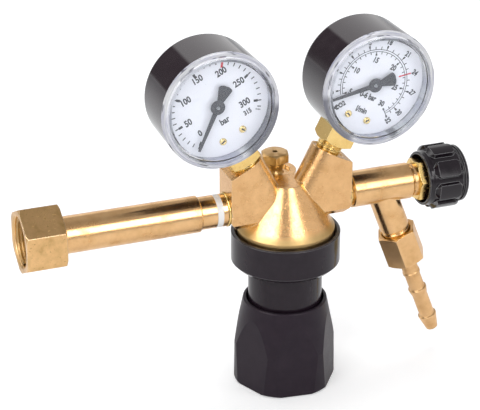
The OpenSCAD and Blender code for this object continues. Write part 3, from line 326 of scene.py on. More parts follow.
branch = math.radians(regulator["branchLean"])
branchAxis = (math.sin(branch), 0, -math.cos(branch))
brass = {"light": (0.85, 0.53, 0.26), "deep": (0.66, 0.37, 0.15), "worn": (0.95, 0.70, 0.42),
         "echo": (0.84, 0.64, 0.30)}
metalLook = {"edgeWearAndHighlight": 0.8, "markRough": 0.16}
# painted shade at the foot of the cone: where it starts, its fade, cover, colour and roughness
coneFootShade = {"top": -0.0104, "fade": 0.0026, "cover": 0.8, "color": (0.50, 0.35, 0.15), "rough": 0.16}
metals = {
    "forged": {"name": "forgedBrass", "light": (0.82, 0.49, 0.23), "deep": (0.64, 0.36, 0.15),
               "worn": (0.96, 0.72, 0.44), "echo": brass["echo"], "rough": 0.21, "grain": "forged",
               "edge": 0.0006, "bump": 0.36, "pits": 0.3, "foot": coneFootShade},
    "turnedX": {**brass, "name": "turnedBrassX", "rough": 0.17, "grain": "turned"},
    "turnedZ": {**brass, "name": "turnedBrassZ", "rough": 0.20, "grain": "turned", "axis": (0, 0, 1)},
    "turnedBranch": {**brass, "name": "turnedBrassBranch", "rough": 0.31, "grain": "turned", "axis": branchAxis},
    "gold": {"name": "goldBrass", "light": (0.93, 0.66, 0.26), "deep": (0.78, 0.50, 0.16),
             "worn": (0.98, 0.80, 0.46), "echo": (0.90, 0.70, 0.32), "rough": 0.18, "grain": "forged",
             "bump": 0.08},
    "pitted": {"name": "pittedBrass", "light": (0.84, 0.52, 0.24), "deep": (0.50, 0.30, 0.11),
               "worn": (0.97, 0.76, 0.50), "echo": brass["echo"], "rough": 0.27, "grain": "forged",
               "edge": 0.0007, "bump": 0.30, "pits": 0.9},
    # painted shade: the thread inside the inlet nut's mouth is darkened for the shade there
    "mouthShade": {"name": "mouthShadeBrass", "light": (0.50, 0.32, 0.14), "deep": (0.34, 0.21, 0.09),
                  "worn": (0.72, 0.50, 0.26), "echo": brass["echo"], "rough": 0.34, "grain": "turned"},
    "facedOff": {"name": "facedBrass", "light": (0.74, 0.47, 0.21), "deep": (0.58, 0.35, 0.14),
                 "worn": (0.95, 0.72, 0.42), "echo": brass["echo"], "rough": 0.30, "grain": "turned",
                 "axis": (0, 0, 1)},
    "steel": {"name": "springSteel", "light": (0.55, 0.56, 0.58), "deep": (0.40, 0.40, 0.42),
              "worn": (0.75, 0.75, 0.76), "rough": 0.25, "grain": "turned", "axis": (0, 0, 1)},
    "bronze": {"name": "sinteredBronze", "light": (0.45, 0.33, 0.20), "deep": (0.30, 0.21, 0.12),
               "worn": (0.55, 0.42, 0.28), "rough": 0.55, "grain": "forged", "bump": 0.6},
}


def makeMetal(name, light, deep, worn, rough, grain, edge=0.0004, axis=(1, 0, 0), bump=0.12, pits=0.0,
              echo=None, foot=None):
    material, tree, shader, coords = startMaterial(name)
    if grain == "turned":
        vector = turnTo(tree, coords, axis)
        skin = useGroup(tree, turnedGroup, Vector=vector, Rings=turnedLook["rings"])
    else:
        skin = useGroup(tree, forgedGroup, Vector=coords, Grit=forgedLook["grit"], Pits=pits)
    marks = skin.outputs['Marks']
    rim = useGroup(tree, edgeGroup, Radius=edge, Height=skin.outputs['Height'], Bump=bump)
    color = mixColor(tree, marks, light, deep)
    # edge wear: metal edges turn to the paler worn colour
    edgeWearAndHighlight = mathNode(tree, 'MULTIPLY', rim.outputs['Edge'], metalLook["edgeWearAndHighlight"], clamp=True)
    color = mixColor(tree, edgeWearAndHighlight, color, worn)
    if echo:  # brass seen in brass stays straw-coloured
        color = mixColor(tree, tree.nodes.new('ShaderNodeLightPath').outputs['Is Glossy Ray'], color, echo)
    roughness = mathNode(tree, 'ADD', mathNode(tree, 'MULTIPLY', marks, metalLook["markRough"]), rough)
    if foot:  # painted shade: darker and rougher towards the foot of the cone, where it meets the black ring
        split = tree.nodes.new('ShaderNodeSeparateXYZ')
        tree.links.new(coords, split.inputs[0])
        low = mathNode(tree, 'SUBTRACT', foot["top"], split.outputs['Z'])
        low = mathNode(tree, 'DIVIDE', low, foot["fade"], clamp=True)
        color = mixColor(tree, mathNode(tree, 'MULTIPLY', low, foot["cover"]), color, foot["color"])
        roughness = mathNode(tree, 'ADD', roughness, mathNode(tree, 'MULTIPLY', low, foot["rough"]))
    tree.links.new(color, shader.inputs['Base Color'])
    tree.links.new(roughness, shader.inputs['Roughness'])
    tree.links.new(rim.outputs['Normal'], shader.inputs['Normal'])
    shader.inputs['Metallic'].default_value = 1.0
    return material


# plastics, paint and print

plasticLook = {"patch": 140.0, "patchEdge": [(0.35, 0.0), (0.7, 1.0)], "edgeWearAndHighlight": 0.5, "roughSpread": 0.14,
               "coatRough": 0.06}
plastics = {
    "enamel": {"name": "blackEnamel", "color": (0.014, 0.008, 0.013), "tint": (0.019, 0.012, 0.018),
               "rough": 0.16, "grit": 900.0, "bump": 0.03, "coat": 0.06, "edge": 0.0006, "paintedEdgeHighlight": 0.5,
               "gloss": 0.25},
    "blackSteel": {"name": "blackGloss", "color": (0.019, 0.010, 0.015), "tint": (0.026, 0.016, 0.021),
                   "rough": 0.07, "grit": 700.0, "bump": 0.02, "coat": 0.2, "gloss": 0.45},
    "knob": {"name": "mattKnob", "color": (0.018, 0.011, 0.018), "tint": (0.023, 0.015, 0.023),
             "rough": 0.36, "grit": 3200.0, "bump": 0.16, "gloss": 0.20},
    "handwheel": {"name": "glossKnob", "color": (0.009, 0.006, 0.009), "tint": (0.014, 0.009, 0.013),
                  "rough": 0.09, "grit": 1200.0, "bump": 0.03, "coat": 0.15, "edge": 0.0006, "paintedEdgeHighlight": 0.60,
                  "gloss": 0.30},
    "white": {"name": "whitePlastic", "color": (0.93, 0.92, 0.90), "tint": (0.87, 0.86, 0.83),
              "rough": 0.42, "grit": 1500.0, "bump": 0.10, "paintedEdgeHighlight": 0.9},
    "rubber": {"name": "elastomer", "color": (0.03, 0.03, 0.03), "tint": (0.045, 0.045, 0.045),
               "rough": 0.7, "grit": 2500.0, "bump": 0.3},
}
prints = {
    "dial": {"name": "dialWhite", "color": (0.89, 0.88, 0.92), "tint": (0.92, 0.91, 0.94), "rough": 0.42},
    # dial print, also used for the painted shade of the screw slots
    "inkAndSlotShade": {"name": "dialInkAndSlotShade", "color": (0.02, 0.022, 0.03), "tint": (0.035, 0.036, 0.045), "rough": 0.5},
    "redInk": {"name": "dialRed", "color": (0.72, 0.03, 0.05), "tint": (0.60, 0.03, 0.05), "rough": 0.5},
    "pointer": {"name": "pointerPaint", "color": (0.035, 0.036, 0.045), "tint": (0.05, 0.05, 0.06),
                "rough": 0.35},
}
printLook = {"patch": 500.0, "roughSpread": 0.1}


def makePlastic(name, color, tint, rough, grit, bump, coat=0.0, edge=0.0004, paintedEdgeHighlight=0.04, gloss=0.5):
    look = plasticLook
    material, tree, shader, coords = startMaterial(name)
    fine = noiseNode(tree, coords, grit, 3.0, 0.6)
    slow = noiseNode(tree, coords, look["patch"], 4.0, 0.6)
    rim = useGroup(tree, edgeGroup, Radius=edge, Height=fine, Bump=bump)
    mixed = mixColor(tree, rampNode(tree, slow, look["patchEdge"]), color, tint)
    # painted highlight: plastic edges are mixed towards a light tone along the edge mask
    edgeWearAndHighlight = mathNode(tree, 'MULTIPLY', rim.outputs['Edge'], look["edgeWearAndHighlight"], clamp=True)
    tree.links.new(mixColor(tree, edgeWearAndHighlight, mixed, (paintedEdgeHighlight,) * 3), shader.inputs['Base Color'])
    uneven = mathNode(tree, 'MULTIPLY', slow, look["roughSpread"])
    tree.links.new(mathNode(tree, 'ADD', uneven, rough - look["roughSpread"] / 2), shader.inputs['Roughness'])
    tree.links.new(rim.outputs['Normal'], shader.inputs['Normal'])
    shader.inputs['Specular IOR Level'].default_value = gloss
    shader.inputs['Coat Weight'].default_value = coat
    shader.inputs['Coat Roughness'].default_value = look["coatRough"]
    return material


def makePrint(name, color, tint, rough):
    material, tree, shader, coords = startMaterial(name)
    slow = noiseNode(tree, coords, printLook["patch"], 3.0, 0.6)
    tree.links.new(mixColor(tree, slow, color, tint), shader.inputs['Base Color'])
    uneven = mathNode(tree, 'MULTIPLY', slow, printLook["roughSpread"])
    tree.links.new(mathNode(tree, 'ADD', uneven, rough), shader.inputs['Roughness'])
    return material


# gauge lenses

lens = {"light": (0.97, 0.98, 1.0), "cool": (0.93, 0.96, 1.0), "smear": 90.0, "ior": 1.49,
        "smearEdge": [(0.45, 0.0), (0.8, 0.05)], "spread": 0.043675, "height": 0.065204,
        "rimStart": 0.0282, "rimFade": 0.0008, "paintedRimShare": 0.70, "shade": (0.58, 0.58, 0.73),
        "white": (1.0, 1.0, 1.0), "case": (0.11, 0.11, 0.14), "rimRough": 0.10, "streakRough": 0.2,
        "rings": (1500.0, 60.0), "ringEdge": [(0.35, 0.0), (0.62, 1.0)],
        "shards": (700.0, 95.0), "shardEdge": [(0.61, 0.0), (0.65, 0.8)],
        "caseSideTowards": (-0.86, -0.5), "caseSideEdge": [(0.84, 0.0), (0.90, 0.75)], "shadow": (0.96, 0.97, 0.98, 1)}


def makeLens():  # clear in the middle; its thick rim is a painted reflection, white with fine lavender rings and dark patches
    material, tree, shader, coords = startMaterial("clearLens")
    smear = noiseNode(tree, coords, lens["smear"], 4.0, 0.6)
    tree.links.new(mixColor(tree, smear, lens["light"], lens["cool"]), shader.inputs['Base Color'])
    tree.links.new(rampNode(tree, smear, lens["smearEdge"]), shader.inputs['Roughness'])
    shader.inputs['Metallic'].default_value = 0.0
    shader.inputs['Transmission Weight'].default_value = 1.0
    shader.inputs['IOR'].default_value = lens["ior"]

    def times(a, b):
        return mathNode(tree, 'MULTIPLY', a, b)

    # place on the lens, from the gauge's centre; both gauges share it mirrored
    split = tree.nodes.new('ShaderNodeSeparateXYZ')
    tree.links.new(coords, split.inputs[0])
    across = mathNode(tree, 'ABSOLUTE', mathNode(tree, 'SUBTRACT', split.outputs['X'], regulator["reach"]))
    across = mathNode(tree, 'SUBTRACT', across, lens["spread"])
    up = mathNode(tree, 'SUBTRACT', split.outputs['Z'], lens["height"])
    radius = mathNode(tree, 'SQRT', mathNode(tree, 'ADD', times(across, across), times(up, up)))
    mask = mathNode(tree, 'SUBTRACT', radius, lens["rimStart"])
    mask = mathNode(tree, 'DIVIDE', mask, lens["rimFade"], clamp=True)

    def ringNoise(scales, detail, rough):  # noise drawn out along the rim
        rings = tree.nodes.new('ShaderNodeCombineXYZ')
        for i, (value, scale) in enumerate(((radius, scales[0]), (across, scales[1]), (up, scales[1]))):
            tree.links.new(times(value, scale), rings.inputs[i])
        return noiseNode(tree, rings.outputs[0], 1.0, detail, rough)

    towards = lens["caseSideTowards"]
    lean = mathNode(tree, 'ADD', times(across, towards[0]), times(up, towards[1]))
    paintedCaseSide = rampNode(tree, mathNode(tree, 'DIVIDE', lean, radius), lens["caseSideEdge"])
    streak = rampNode(tree, ringNoise(lens["rings"], 4.0, 0.65), lens["ringEdge"])
    shards = rampNode(tree, ringNoise(lens["shards"], 2.0, 0.5), lens["shardEdge"])
    dark = mathNode(tree, 'MAXIMUM', paintedCaseSide, shards)  # painted reflection: dark patches for the black case seen through the rim, on one side and in shards
    # painted reflection: white and lavender rings for the dial light the thick rim carries
    paintedRimReflection = mixColor(tree, streak, lens["shade"], lens["white"])
    rim = tree.nodes.new('ShaderNodeBsdfPrincipled')
    tree.links.new(mixColor(tree, dark, paintedRimReflection, lens["case"]), rim.inputs['Base Color'])
    rimRough = mathNode(tree, 'ADD', times(streak, lens["streakRough"]), lens["rimRough"])
    tree.links.new(rimRough, rim.inputs['Roughness'])
    body = tree.nodes.new('ShaderNodeMixShader')
    tree.links.new(times(mask, lens["paintedRimShare"]), body.inputs[0])
    tree.links.new(shader.outputs[0], body.inputs[1])
    tree.links.new(rim.outputs[0], body.inputs[2])

    clear = tree.nodes.new('ShaderNodeBsdfTransparent')  # lets light through to the dial
    clear.inputs[0].default_value = lens["shadow"]
    path = tree.nodes.new('ShaderNodeLightPath')
    mix = tree.nodes.new('ShaderNodeMixShader')
    tree.links.new(path.outputs['Is Shadow Ray'], mix.inputs[0])
    tree.links.new(body.outputs[0], mix.inputs[1])
    tree.links.new(clear.outputs[0], mix.inputs[2])
    tree.links.new(mix.outputs[0], outputOf(tree).inputs[0])
    return material


# finishes of the solids

materials = {}
for maker, table in ((makeMetal, metals), (makePlastic, plastics), (makePrint, prints)):
    for finish, values in table.items():
        materials[finish] = maker(**values)
materials["lens"] = makeLens()
nodeFinish = {
    "body": "forged", "inlet_nut": "pitted", "inlet_stem": "turnedX", "inlet_adapter": "turnedX",
    "inlet_pale_ring": "white", "inlet_flange_ring": "gold", "outlet_flange_ring": "gold",
    "inlet_seal": "white", "inlet_filter": "bronze", "union_ring": "enamel", "bonnet": "enamel",
    "slip_ring": "steel", "diaphragm": "rubber", "diaphragm_plate": "turnedZ", "main_spring": "steel",
    "spring_plate": "steel", "adjusting_screw": "steel", "adjusting_knob": "knob",
    "valve_cartridge": "turnedZ", "valve_poppet": "turnedZ", "poppet_spring": "steel",
    "relief_body": "facedOff", "relief_poppet": "steel", "relief_spring": "steel",
    "outlet_valve_body": "turnedX", "outlet_bonnet_nut": "gold", "outlet_spindle": "steel",
    "spindle_packing": "white", "outlet_valve_disc": "turnedX", "outlet_knob": "handwheel",
    "outlet_knob_cap": "handwheel", "hose_nut": "turnedBranch", "hose_tail": "turnedBranch",
}
gaugeFinish = {
    "gauge_stem": "gold", "gauge_case": "blackSteel", "gauge_lens": "lens", "gauge_dial": "dial",
    "dial_screws": "gold", "bourdon_tube": "turnedX", "movement": "turnedX", "sector": "gold",
    "pinion": "steel", "pointer": "pointer",
}
for prefix in ("high", "flow"):
    nodeFinish.update({prefix + "_" + part: finish for part, finish in gaugeFinish.items()})
for name, piece in nodes.items():
    piece.data.materials.clear()
    piece.data.materials.append(materials[nodeFinish[name]])
print("materials:", len(materials))


# dial printing, in millimetres and degrees clockwise from the top of a dial

dialPrint = {"face": -0.01206, "squeeze": 0.80, "heavier": 0.00017, "letter": 1.66,
             "slot": (0.75, 2.2), "slotZ": -19.5, "slotRise": 0.00088}
highDial = {
    "side": -1, "zero": -129.0, "step": 0.819, "top": 315, "redAt": 200,
    "numbers": [("0", -120, 16.3, 2.9), ("50", -88, 16.8, 3.0), ("100", -47, 17.2, 3.0), ("150", -6, 18.6, 3.0),
                ("200", 35, 18.4, 3.0), ("250", 74, 16.6, 3.0), ("300", 118, 15.3, 3.0), ("315", 135, 17.8, 2.2)],
    "unit": ("bar", 0.0, -9.7, 3.0), "slots": [(-6, 68), (6, -28)],
    "minor": (22.4, 24.4, 0.55), "major": (20.2, 22.4, 1.3), "majorTip": (22.3, 24.4, 0.6),
    "last": (21.6, 24.4, 0.42), "red": (20.8, 24.8, 1.2),
}
flowDial = {
    "side": 1, "start": -127, "end": 131.3, "arcs": [(17.9, 0.32), (19.0, 0.32)],
    "inner": [("5", -127, 13.6), ("10", -75.4, 13.4), ("15", -23.7, 13.2), ("20", 28, 13.2), ("25", 79.7, 12.6),
              ("30", 131.3, 12.6)],
    "innerSize": 2.5, "innerSteps": 25, "innerMajor": (15.6, 16.8, 0.95), "innerTip": (16.7, 17.9, 0.4),
    "innerMinor": (16.5, 17.9, 0.42),
    "outer": [(6, -120), (9, -92), (12, -64), (15, -35), (18, -6), (21, 27), (24, 55.5), (27, 83), (30, 114),
              (32, 131.3)],
    "outerRadius": 23.6, "outerSize": 2.4, "outerLean": 0.25, "outerMajor": (20.2, 21.6, 0.95),
    "outerTip": (19.0, 20.3, 0.4), "outerMinor": (19.0, 20.6, 0.42), "lastTip": (17.9, 20.3, 0.4),
    "redAt": 24, "redAngle": 54.5, "red": (14.4, 21.4, 0.75),
    "units": [("0-6 bar", 0.2, -7.2, 2.6), ("l/min", 0.3, -15.2, 2.6)],
    "gases": [("CO2", -12.6, -17.0), ("Ar", -14.6, -19.0)], "gasSize": 2.3, "gasTurn": -52,
    "gasBar": (-13.7, -17.7, 4.6, 0.25), "slots": [(-6, -63), (6, 33)],
}


def onDial(side, x, z, turn, rise=0.0):  # place on a dial's face, or in front of it
    place = Matrix.Translation((x / 1000, dialPrint["face"] - rise, z / 1000))
    return gaugeMatrix(side) @ place @ Matrix.Rotation(math.radians(turn), 4, 'Y')


def printStrip(side, x, z, width, height, turn, rise=0.0):  # flat bar
    deselectAll()
    bpy.ops.mesh.primitive_plane_add(size=1.0, rotation=(math.radians(90), 0, 0))
    strip = bpy.context.object
    strip.scale = (width / 1000, height / 1000, 1)
    bpy.ops.object.transform_apply(location=False, rotation=True, scale=True)
    settle(strip, onDial(side, x, z, turn, rise))
    return strip


def printTick(side, angle, start, end, width):
    middle = (start + end) / 2
    a = math.radians(angle)
    return printStrip(side, middle * math.sin(a), middle * math.cos(a), width, end - start, angle)


def printText(side, words, x, z, size, turn=0.0):
    deselectAll()
    bpy.ops.object.text_add(rotation=(math.radians(90), 0, 0))
    text = bpy.context.object
    text.data.body = words
    text.data.size = size / 1000 * dialPrint["letter"]
    text.data.align_x = 'CENTER'
    text.data.align_y = 'CENTER'
    text.data.offset = dialPrint["heavier"]
    text.data.resolution_u = 3
    bpy.ops.object.convert(target='MESH')
    text = bpy.context.object
    bpy.ops.object.transform_apply(location=False, rotation=True, scale=True)
    text.scale = (dialPrint["squeeze"], 1, 1)
    bpy.ops.object.transform_apply(location=False, rotation=False, scale=True)
    settle(text, onDial(side, x, z, turn))
    return text


def printNumber(side, words, angle, radius, size, turn=0.0):
    a = math.radians(angle)
    return printText(side, words, radius * math.sin(a), radius * math.cos(a), size, turn)


def printArc(side, radius, width, start, end):
    a = math.radians(start)
    low, high = (radius - width / 2) / 1000, (radius + width / 2) / 1000
    points = [(low * math.sin(a), 0, low * math.cos(a)), (high * math.sin(a), 0, high * math.cos(a))]
    arc = drawProfile(points, [(0, 1)])
    bpy.ops.object.mode_set(mode='EDIT')
    bpy.ops.mesh.select_all(action='SELECT')
    steps = max(6, int(abs(end - start) / 3))
    bpy.ops.mesh.spin(steps=steps, angle=math.radians(end - start), center=(0, 0, 0), axis=(0, -1, 0))
    bpy.ops.object.mode_set(mode='OBJECT')
    settle(arc, onDial(side, 0, 0, 0))
    return arc


def printSlots(dial):  # painted shade: black strips for the shaded slots of the two dial screws
    width, length = dialPrint["slot"]
    return [printStrip(dial["side"], x, dialPrint["slotZ"], width, length, turn, rise=dialPrint["slotRise"])
            for x, turn in dial["slots"]]


def makeHighPrint():
    dial = highDial
    side = dial["side"]
    black = []
    for value in range(0, dial["top"] + 1, 10):
        angle = dial["zero"] + dial["step"] * value
        if value % 50:
            black.append(printTick(side, angle, *dial["minor"]))
        elif value != dial["redAt"]:
            black.append(printTick(side, angle, *dial["major"]))
            black.append(printTick(side, angle, *dial["majorTip"]))
    black.append(printTick(side, dial["zero"] + dial["step"] * dial["top"], *dial["last"]))
    for number in dial["numbers"]:
        black.append(printNumber(side, *number))
    black.append(printText(side, *dial["unit"]))
    black += printSlots(dial)
    red = [printTick(side, dial["zero"] + dial["step"] * dial["redAt"], *dial["red"])]
    return join(black, "highDialInkAndSlotShade"), join(red, "highDialRed")


def makeFlowPrint():
    dial = flowDial
    side = dial["side"]
    black = [printArc(side, radius, width, dial["start"], dial["end"]) for radius, width in dial["arcs"]]
    for i in range(dial["innerSteps"] + 1):
        angle = dial["start"] + i * (dial["end"] - dial["start"]) / dial["innerSteps"]
        if i % 5:
            black.append(printTick(side, angle, *dial["innerMinor"]))
        else:
            black.append(printTick(side, angle, *dial["innerMajor"]))
            black.append(printTick(side, angle, *dial["innerTip"]))
    for (low, a), (high, b) in zip(dial["outer"], dial["outer"][1:]):
        for value in range(low, high):
            angle = a + (b - a) * (value - low) / (high - low)
            if value != low:
                black.append(printTick(side, angle, *dial["outerMinor"]))
            elif value != dial["redAt"]:
                black.append(printTick(side, angle, *dial["outerMajor"]))
                black.append(printTick(side, angle, *dial["outerTip"]))
    black.append(printTick(side, dial["end"], *dial["outerMajor"]))
    black.append(printTick(side, dial["end"], *dial["lastTip"]))
    for words, angle, radius in dial["inner"]:
        black.append(printNumber(side, words, angle, radius, dial["innerSize"]))
    for value, angle in dial["outer"]:
        turn = angle * dial["outerLean"]
        black.append(printNumber(side, str(value), angle, dial["outerRadius"], dial["outerSize"], turn))
    for unit in dial["units"]:
        black.append(printText(side, *unit))
    for words, x, z in dial["gases"]:
        black.append(printText(side, words, x, z, dial["gasSize"], dial["gasTurn"]))
    black.append(printStrip(side, *dial["gasBar"], dial["gasTurn"]))
    black += printSlots(dial)
    red = [printTick(side, dial["redAngle"], *dial["red"])]
    return join(black, "flowDialInkAndSlotShade"), join(red, "flowDialRed")


for maker in (makeHighPrint, makeFlowPrint):
    inkAndSlotShade, redMark = maker()
    for piece, finish in ((inkAndSlotShade, "inkAndSlotShade"), (redMark, "redInk")):
        piece.data.materials.clear()
        piece.data.materials.append(materials[finish])
        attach(piece, "regulator")
print("dial printing done")


# pointer pins

pointerPin = {"radius": 0.0006, "front": -0.0154, "height": 0.0007, "dome": 0.0004}


def makePointerPin(side, prefix):  # peened end of the arbor in the pointer's boss
    deselectAll()
    bpy.ops.mesh.primitive_cylinder_add(vertices=32, radius=pointerPin["radius"], depth=pointerPin["height"])
    pin = bpy.context.object
    bpy.ops.object.mode_set(mode='EDIT')
    bpy.ops.mesh.select_all(action='DESELECT')
    bpy.ops.object.mode_set(mode='OBJECT')
    for face in pin.data.polygons:
        face.select = face.normal.z > 0.9
    bpy.ops.object.mode_set(mode='EDIT')
    bpy.ops.mesh.inset(thickness=pointerPin["radius"] * 0.3, depth=pointerPin["dome"] * 0.6)
    bpy.ops.mesh.inset(thickness=pointerPin["radius"] * 0.35, depth=pointerPin["dome"] * 0.4)
    bpy.ops.object.mode_set(mode='OBJECT')
    bpy.ops.object.shade_smooth_by_angle(angle=math.radians(50))
    turned = Matrix.Translation((0, pointerPin["front"], 0)) @ Matrix.Rotation(math.radians(90), 4, 'X')
    settle(pin, gaugeMatrix(side) @ turned)
    pin.name = prefix + "PointerPin"
    pin.data.materials.append(materials["steel"])
    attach(pin, prefix + "_pointer")


makePointerPin(-1, "high")
makePointerPin(1, "flow")
print("pointer pins done")


# inlet nut: hexagon turned off round at both ends, threaded mouth, smaller hole at the tube

inletNut = {"mouth": -0.0056, "length": 0.0214, "corner": 0.018475, "turn": 2.0, "faceRadius": 0.0171,
            "chamfer": 0.0011, "bore": 0.0132, "mouthBore": 0.0143, "lead": 0.0009, "wall": 0.0044,
            "hole": 0.01105, "past": 0.0001, "shadeAngle": 28}


def makeInletNut():
    n = inletNut
    deselectAll()
    bpy.ops.mesh.primitive_cylinder_add(vertices=6, radius=n["corner"], depth=n["length"])
    nut = bpy.context.object
    nut.rotation_euler = (0, 0, math.radians(n["turn"] - 30.0))
    bpy.ops.object.transform_apply(location=False, rotation=True, scale=False)
    deselectAll()
    outside = n["corner"] + n["past"]
    ends = n["faceRadius"] / outside
    carve(nut, addTaper(outside, n["length"] - 2 * n["chamfer"], n["chamfer"], (ends, ends)), 'INTERSECT')
    deselectAll()
    depth = n["length"] - n["wall"]
    bore = addTaper(n["bore"], depth, n["lead"], (n["mouthBore"] / n["bore"], 1.0))
    bore.location = (0, 0, -n["length"] / 2 + depth / 2 + n["lead"])
    carve(nut, bore, 'DIFFERENCE')
    deselectAll()
    bpy.ops.mesh.primitive_cylinder_add(vertices=72, radius=n["hole"], depth=n["length"] * 3)
    carve(nut, bpy.context.object, 'DIFFERENCE')
    pick(nut)
    bpy.ops.object.shade_smooth_by_angle(angle=math.radians(n["shadeAngle"]))
    settle(nut, Matrix.Translation((n["mouth"] + n["length"] / 2, 0, 0)) @ alongX)
    nut.name = "inletNut"
    nut.data.materials.append(materials["pitted"])
    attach(nut, "inlet_nut")
    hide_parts("inlet_nut")


makeInletNut()
print("inlet nut done")


# threads

threads = {
    "inletNutThread": {"body": "inlet_nut", "finish": "mouthShade", "slot": "turned_brass", "radius": 0.01322,
                       "depth": 0.0008, "pitch": 0.0018, "turns": 6, "inward": True,
                       "place": Matrix.Translation((-0.0044, 0, 0)) @ alongX},
    "flowStemThread": {"body": "regulator", "finish": "gold", "slot": "gold_brass", "radius": 0.00648,
                       "depth": 0.0004, "pitch": 0.0013, "turns": 3, "inward": False,
                       "place": gaugeMatrix(1) @ Matrix.Translation((0, 0, 0.0002 - regulator["gaugeLift"]))},
}
threadForm = {"crestStart": 0.42, "crestEnd": 0.58, "steps": 40}


def makeThread(name, fit):
    body, slot = fit["body"], fit["slot"]
    radius, pitch = fit["radius"], fit["pitch"]
    crest = radius + (-1 if fit["inward"] else 1) * fit["depth"]
    points = [(radius, 0, 0), (crest, 0, pitch * threadForm["crestStart"]),
              (crest, 0, pitch * threadForm["crestEnd"]), (radius, 0, pitch)]
    thread = drawProfile(points, [(0, 1), (1, 2), (2, 3)])
    screw = thread.modifiers.new("screw", 'SCREW')
    screw.steps = threadForm["steps"]
    screw.render_steps = threadForm["steps"]
    screw.iterations = fit["turns"]
    screw.screw_offset = pitch
    screw.use_merge_vertices = True
    screw.use_smooth_shade = False
    pick(thread)
    bpy.ops.object.modifier_apply(modifier="screw")
    bpy.ops.object.mode_set(mode='EDIT')
    bpy.ops.mesh.select_all(action='SELECT')
    bpy.ops.mesh.normals_make_consistent(inside=fit["inward"])
    bpy.ops.object.mode_set(mode='OBJECT')
    settle(thread, fit["place"])
    thread.name = name
    thread.data.name = name
    thread.data.materials.append(materials[fit["finish"]])
    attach(thread, body)


for name, fit in threads.items():
    makeThread(name, fit)
print("threads done")


# springs: smooth copies of the spring solids, carried by the regulator

springs = {
    "main_spring": {"name": "mainSpring", "joint": "screw_lift", "rise": 0.010},
    "poppet_spring": {"name": "poppetSpring", "joint": "valve_lift", "rise": 0.001},
    "relief_spring": {"name": "reliefSpring", "joint": "relief_lift", "rise": 0.0015},
}


def makeSpring(node, fit):
    spring = copyNode(node, fit["name"])
    bpy.ops.object.shade_smooth_by_angle(angle=math.radians(45))
    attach(spring, "regulator")
    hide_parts(node)
    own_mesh(spring)


for node, fit in springs.items():
    makeSpring(node, fit)
print("springs done")


# relief valve: the head's corners are turned off round at the top

reliefHead = {"y": 0.0165, "radius": 0.0082, "topRadius": 0.0064, "drop": 0.0012, "depth": 0.04, "shadeAngle": 28}


def makeReliefHead():
    h = reliefHead
    head = copyNode("relief_body", "reliefBody")
    high = max(v.co.z for v in head.data.vertices)
    deselectAll()
    cone = addTaper(h["radius"], h["depth"], h["drop"], (1.0, h["topRadius"] / h["radius"]))
    cone.location = (regulator["reach"], h["y"], high - h["drop"] - h["depth"] / 2)
    carve(head, cone, 'INTERSECT')
    mergePoints(head)
    bpy.ops.object.shade_smooth_by_angle(angle=math.radians(h["shadeAngle"]))
    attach(head, "regulator")
    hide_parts("relief_body")


makeReliefHead()
print("relief head done")


# floor

floorLook = {"size": 12.0, "center": (0.14, 0.0, -0.1075), "light": (0.86, 0.86, 0.86), "pale": (0.88, 0.88, 0.88),
             "patch": 3.0, "rough": 0.9, "gloss": 0.1, "nearGlow": 0.30, "farGlow": 0.6, "glossyGlow": 0.10,
             "farStart": 0.4, "farSpan": 1.2}


def makeFloor():
    look = floorLook
    deselectAll()
    bpy.ops.mesh.primitive_plane_add(size=look["size"], location=look["center"])
    floor = bpy.context.object
    floor.name = "studioFloor"
    bpy.ops.object.transform_apply(location=True, rotation=False, scale=False)
    material, tree, shader, coords = startMaterial("floorPale")
    slow = noiseNode(tree, coords, look["patch"], 2.0, 0.5)
    tree.links.new(mixColor(tree, slow, look["light"], look["pale"]), shader.inputs['Base Color'])
    shader.inputs['Roughness'].default_value = look["rough"]
    shader.inputs['Specular IOR Level'].default_value = look["gloss"]
    path = tree.nodes.new('ShaderNodeLightPath')
    seen = mathNode(tree, 'MAXIMUM', path.outputs['Is Camera Ray'], path.outputs['Is Transmission Ray'])
    span = vectorNode(tree, 'DISTANCE', coords, look["center"])
    far = mathNode(tree, 'SUBTRACT', span.outputs['Value'], look["farStart"])
    far = mathNode(tree, 'DIVIDE', far, look["farSpan"], clamp=True)
    lift = mathNode(tree, 'MULTIPLY', far, look["farGlow"])  # keeps the floor white where the lamps end
    lift = mathNode(tree, 'ADD', lift, look["nearGlow"])
    mirrored = mathNode(tree, 'MULTIPLY', path.outputs['Is Glossy Ray'], look["glossyGlow"])
    glow = tree.nodes.new('ShaderNodeEmission')
    tree.links.new(mathNode(tree, 'ADD', mathNode(tree, 'MULTIPLY', seen, lift), mirrored), glow.inputs[1])
    add = tree.nodes.new('ShaderNodeAddShader')
    tree.links.new(shader.outputs[0], add.inputs[0])
    tree.links.new(glow.outputs[0], add.inputs[1])
    tree.links.new(add.outputs[0], outputOf(tree).inputs[0])
    floor.data.materials.append(material)


# room: what metal and gloss mirror, with windows of light and one darker wall

room = {
    "height": [(0.0, 1.0), (0.485, 0.9), (0.51, 0.5), (0.95, 0.50), (0.985, 0.40), (1.0, 0.33)],
    "fill": (0.95, 0.97, 1.0, 1), "fillLevel": 0.55,
    "windows": [
        {"azimuth": -73, "elevation": 32, "width": 0.41, "height": 0.30, "soft": 0.05, "level": 5.4},
        {"azimuth": 14, "elevation": 30, "width": 0.22, "height": 0.30, "soft": 0.05, "level": 6.2},
        {"azimuth": 72, "elevation": 24, "width": 0.60, "height": 0.38, "soft": 0.12, "level": 0.9},
        {"azimuth": 168, "elevation": 12, "width": 0.36, "height": 0.36, "soft": 0.05, "level": 1.05},
        {"azimuth": -133, "elevation": 6, "width": 0.25, "height": 0.14, "soft": 0.03, "level": 0.7},
        {"azimuth": -140, "elevation": 34, "width": 0.30, "height": 0.25, "soft": 0.10, "level": 3.0},
    ],
    "darkWall": {"azimuth": -161, "elevation": 14, "width": 0.19, "height": 0.27, "soft": 0.03, "level": 0.7},
}


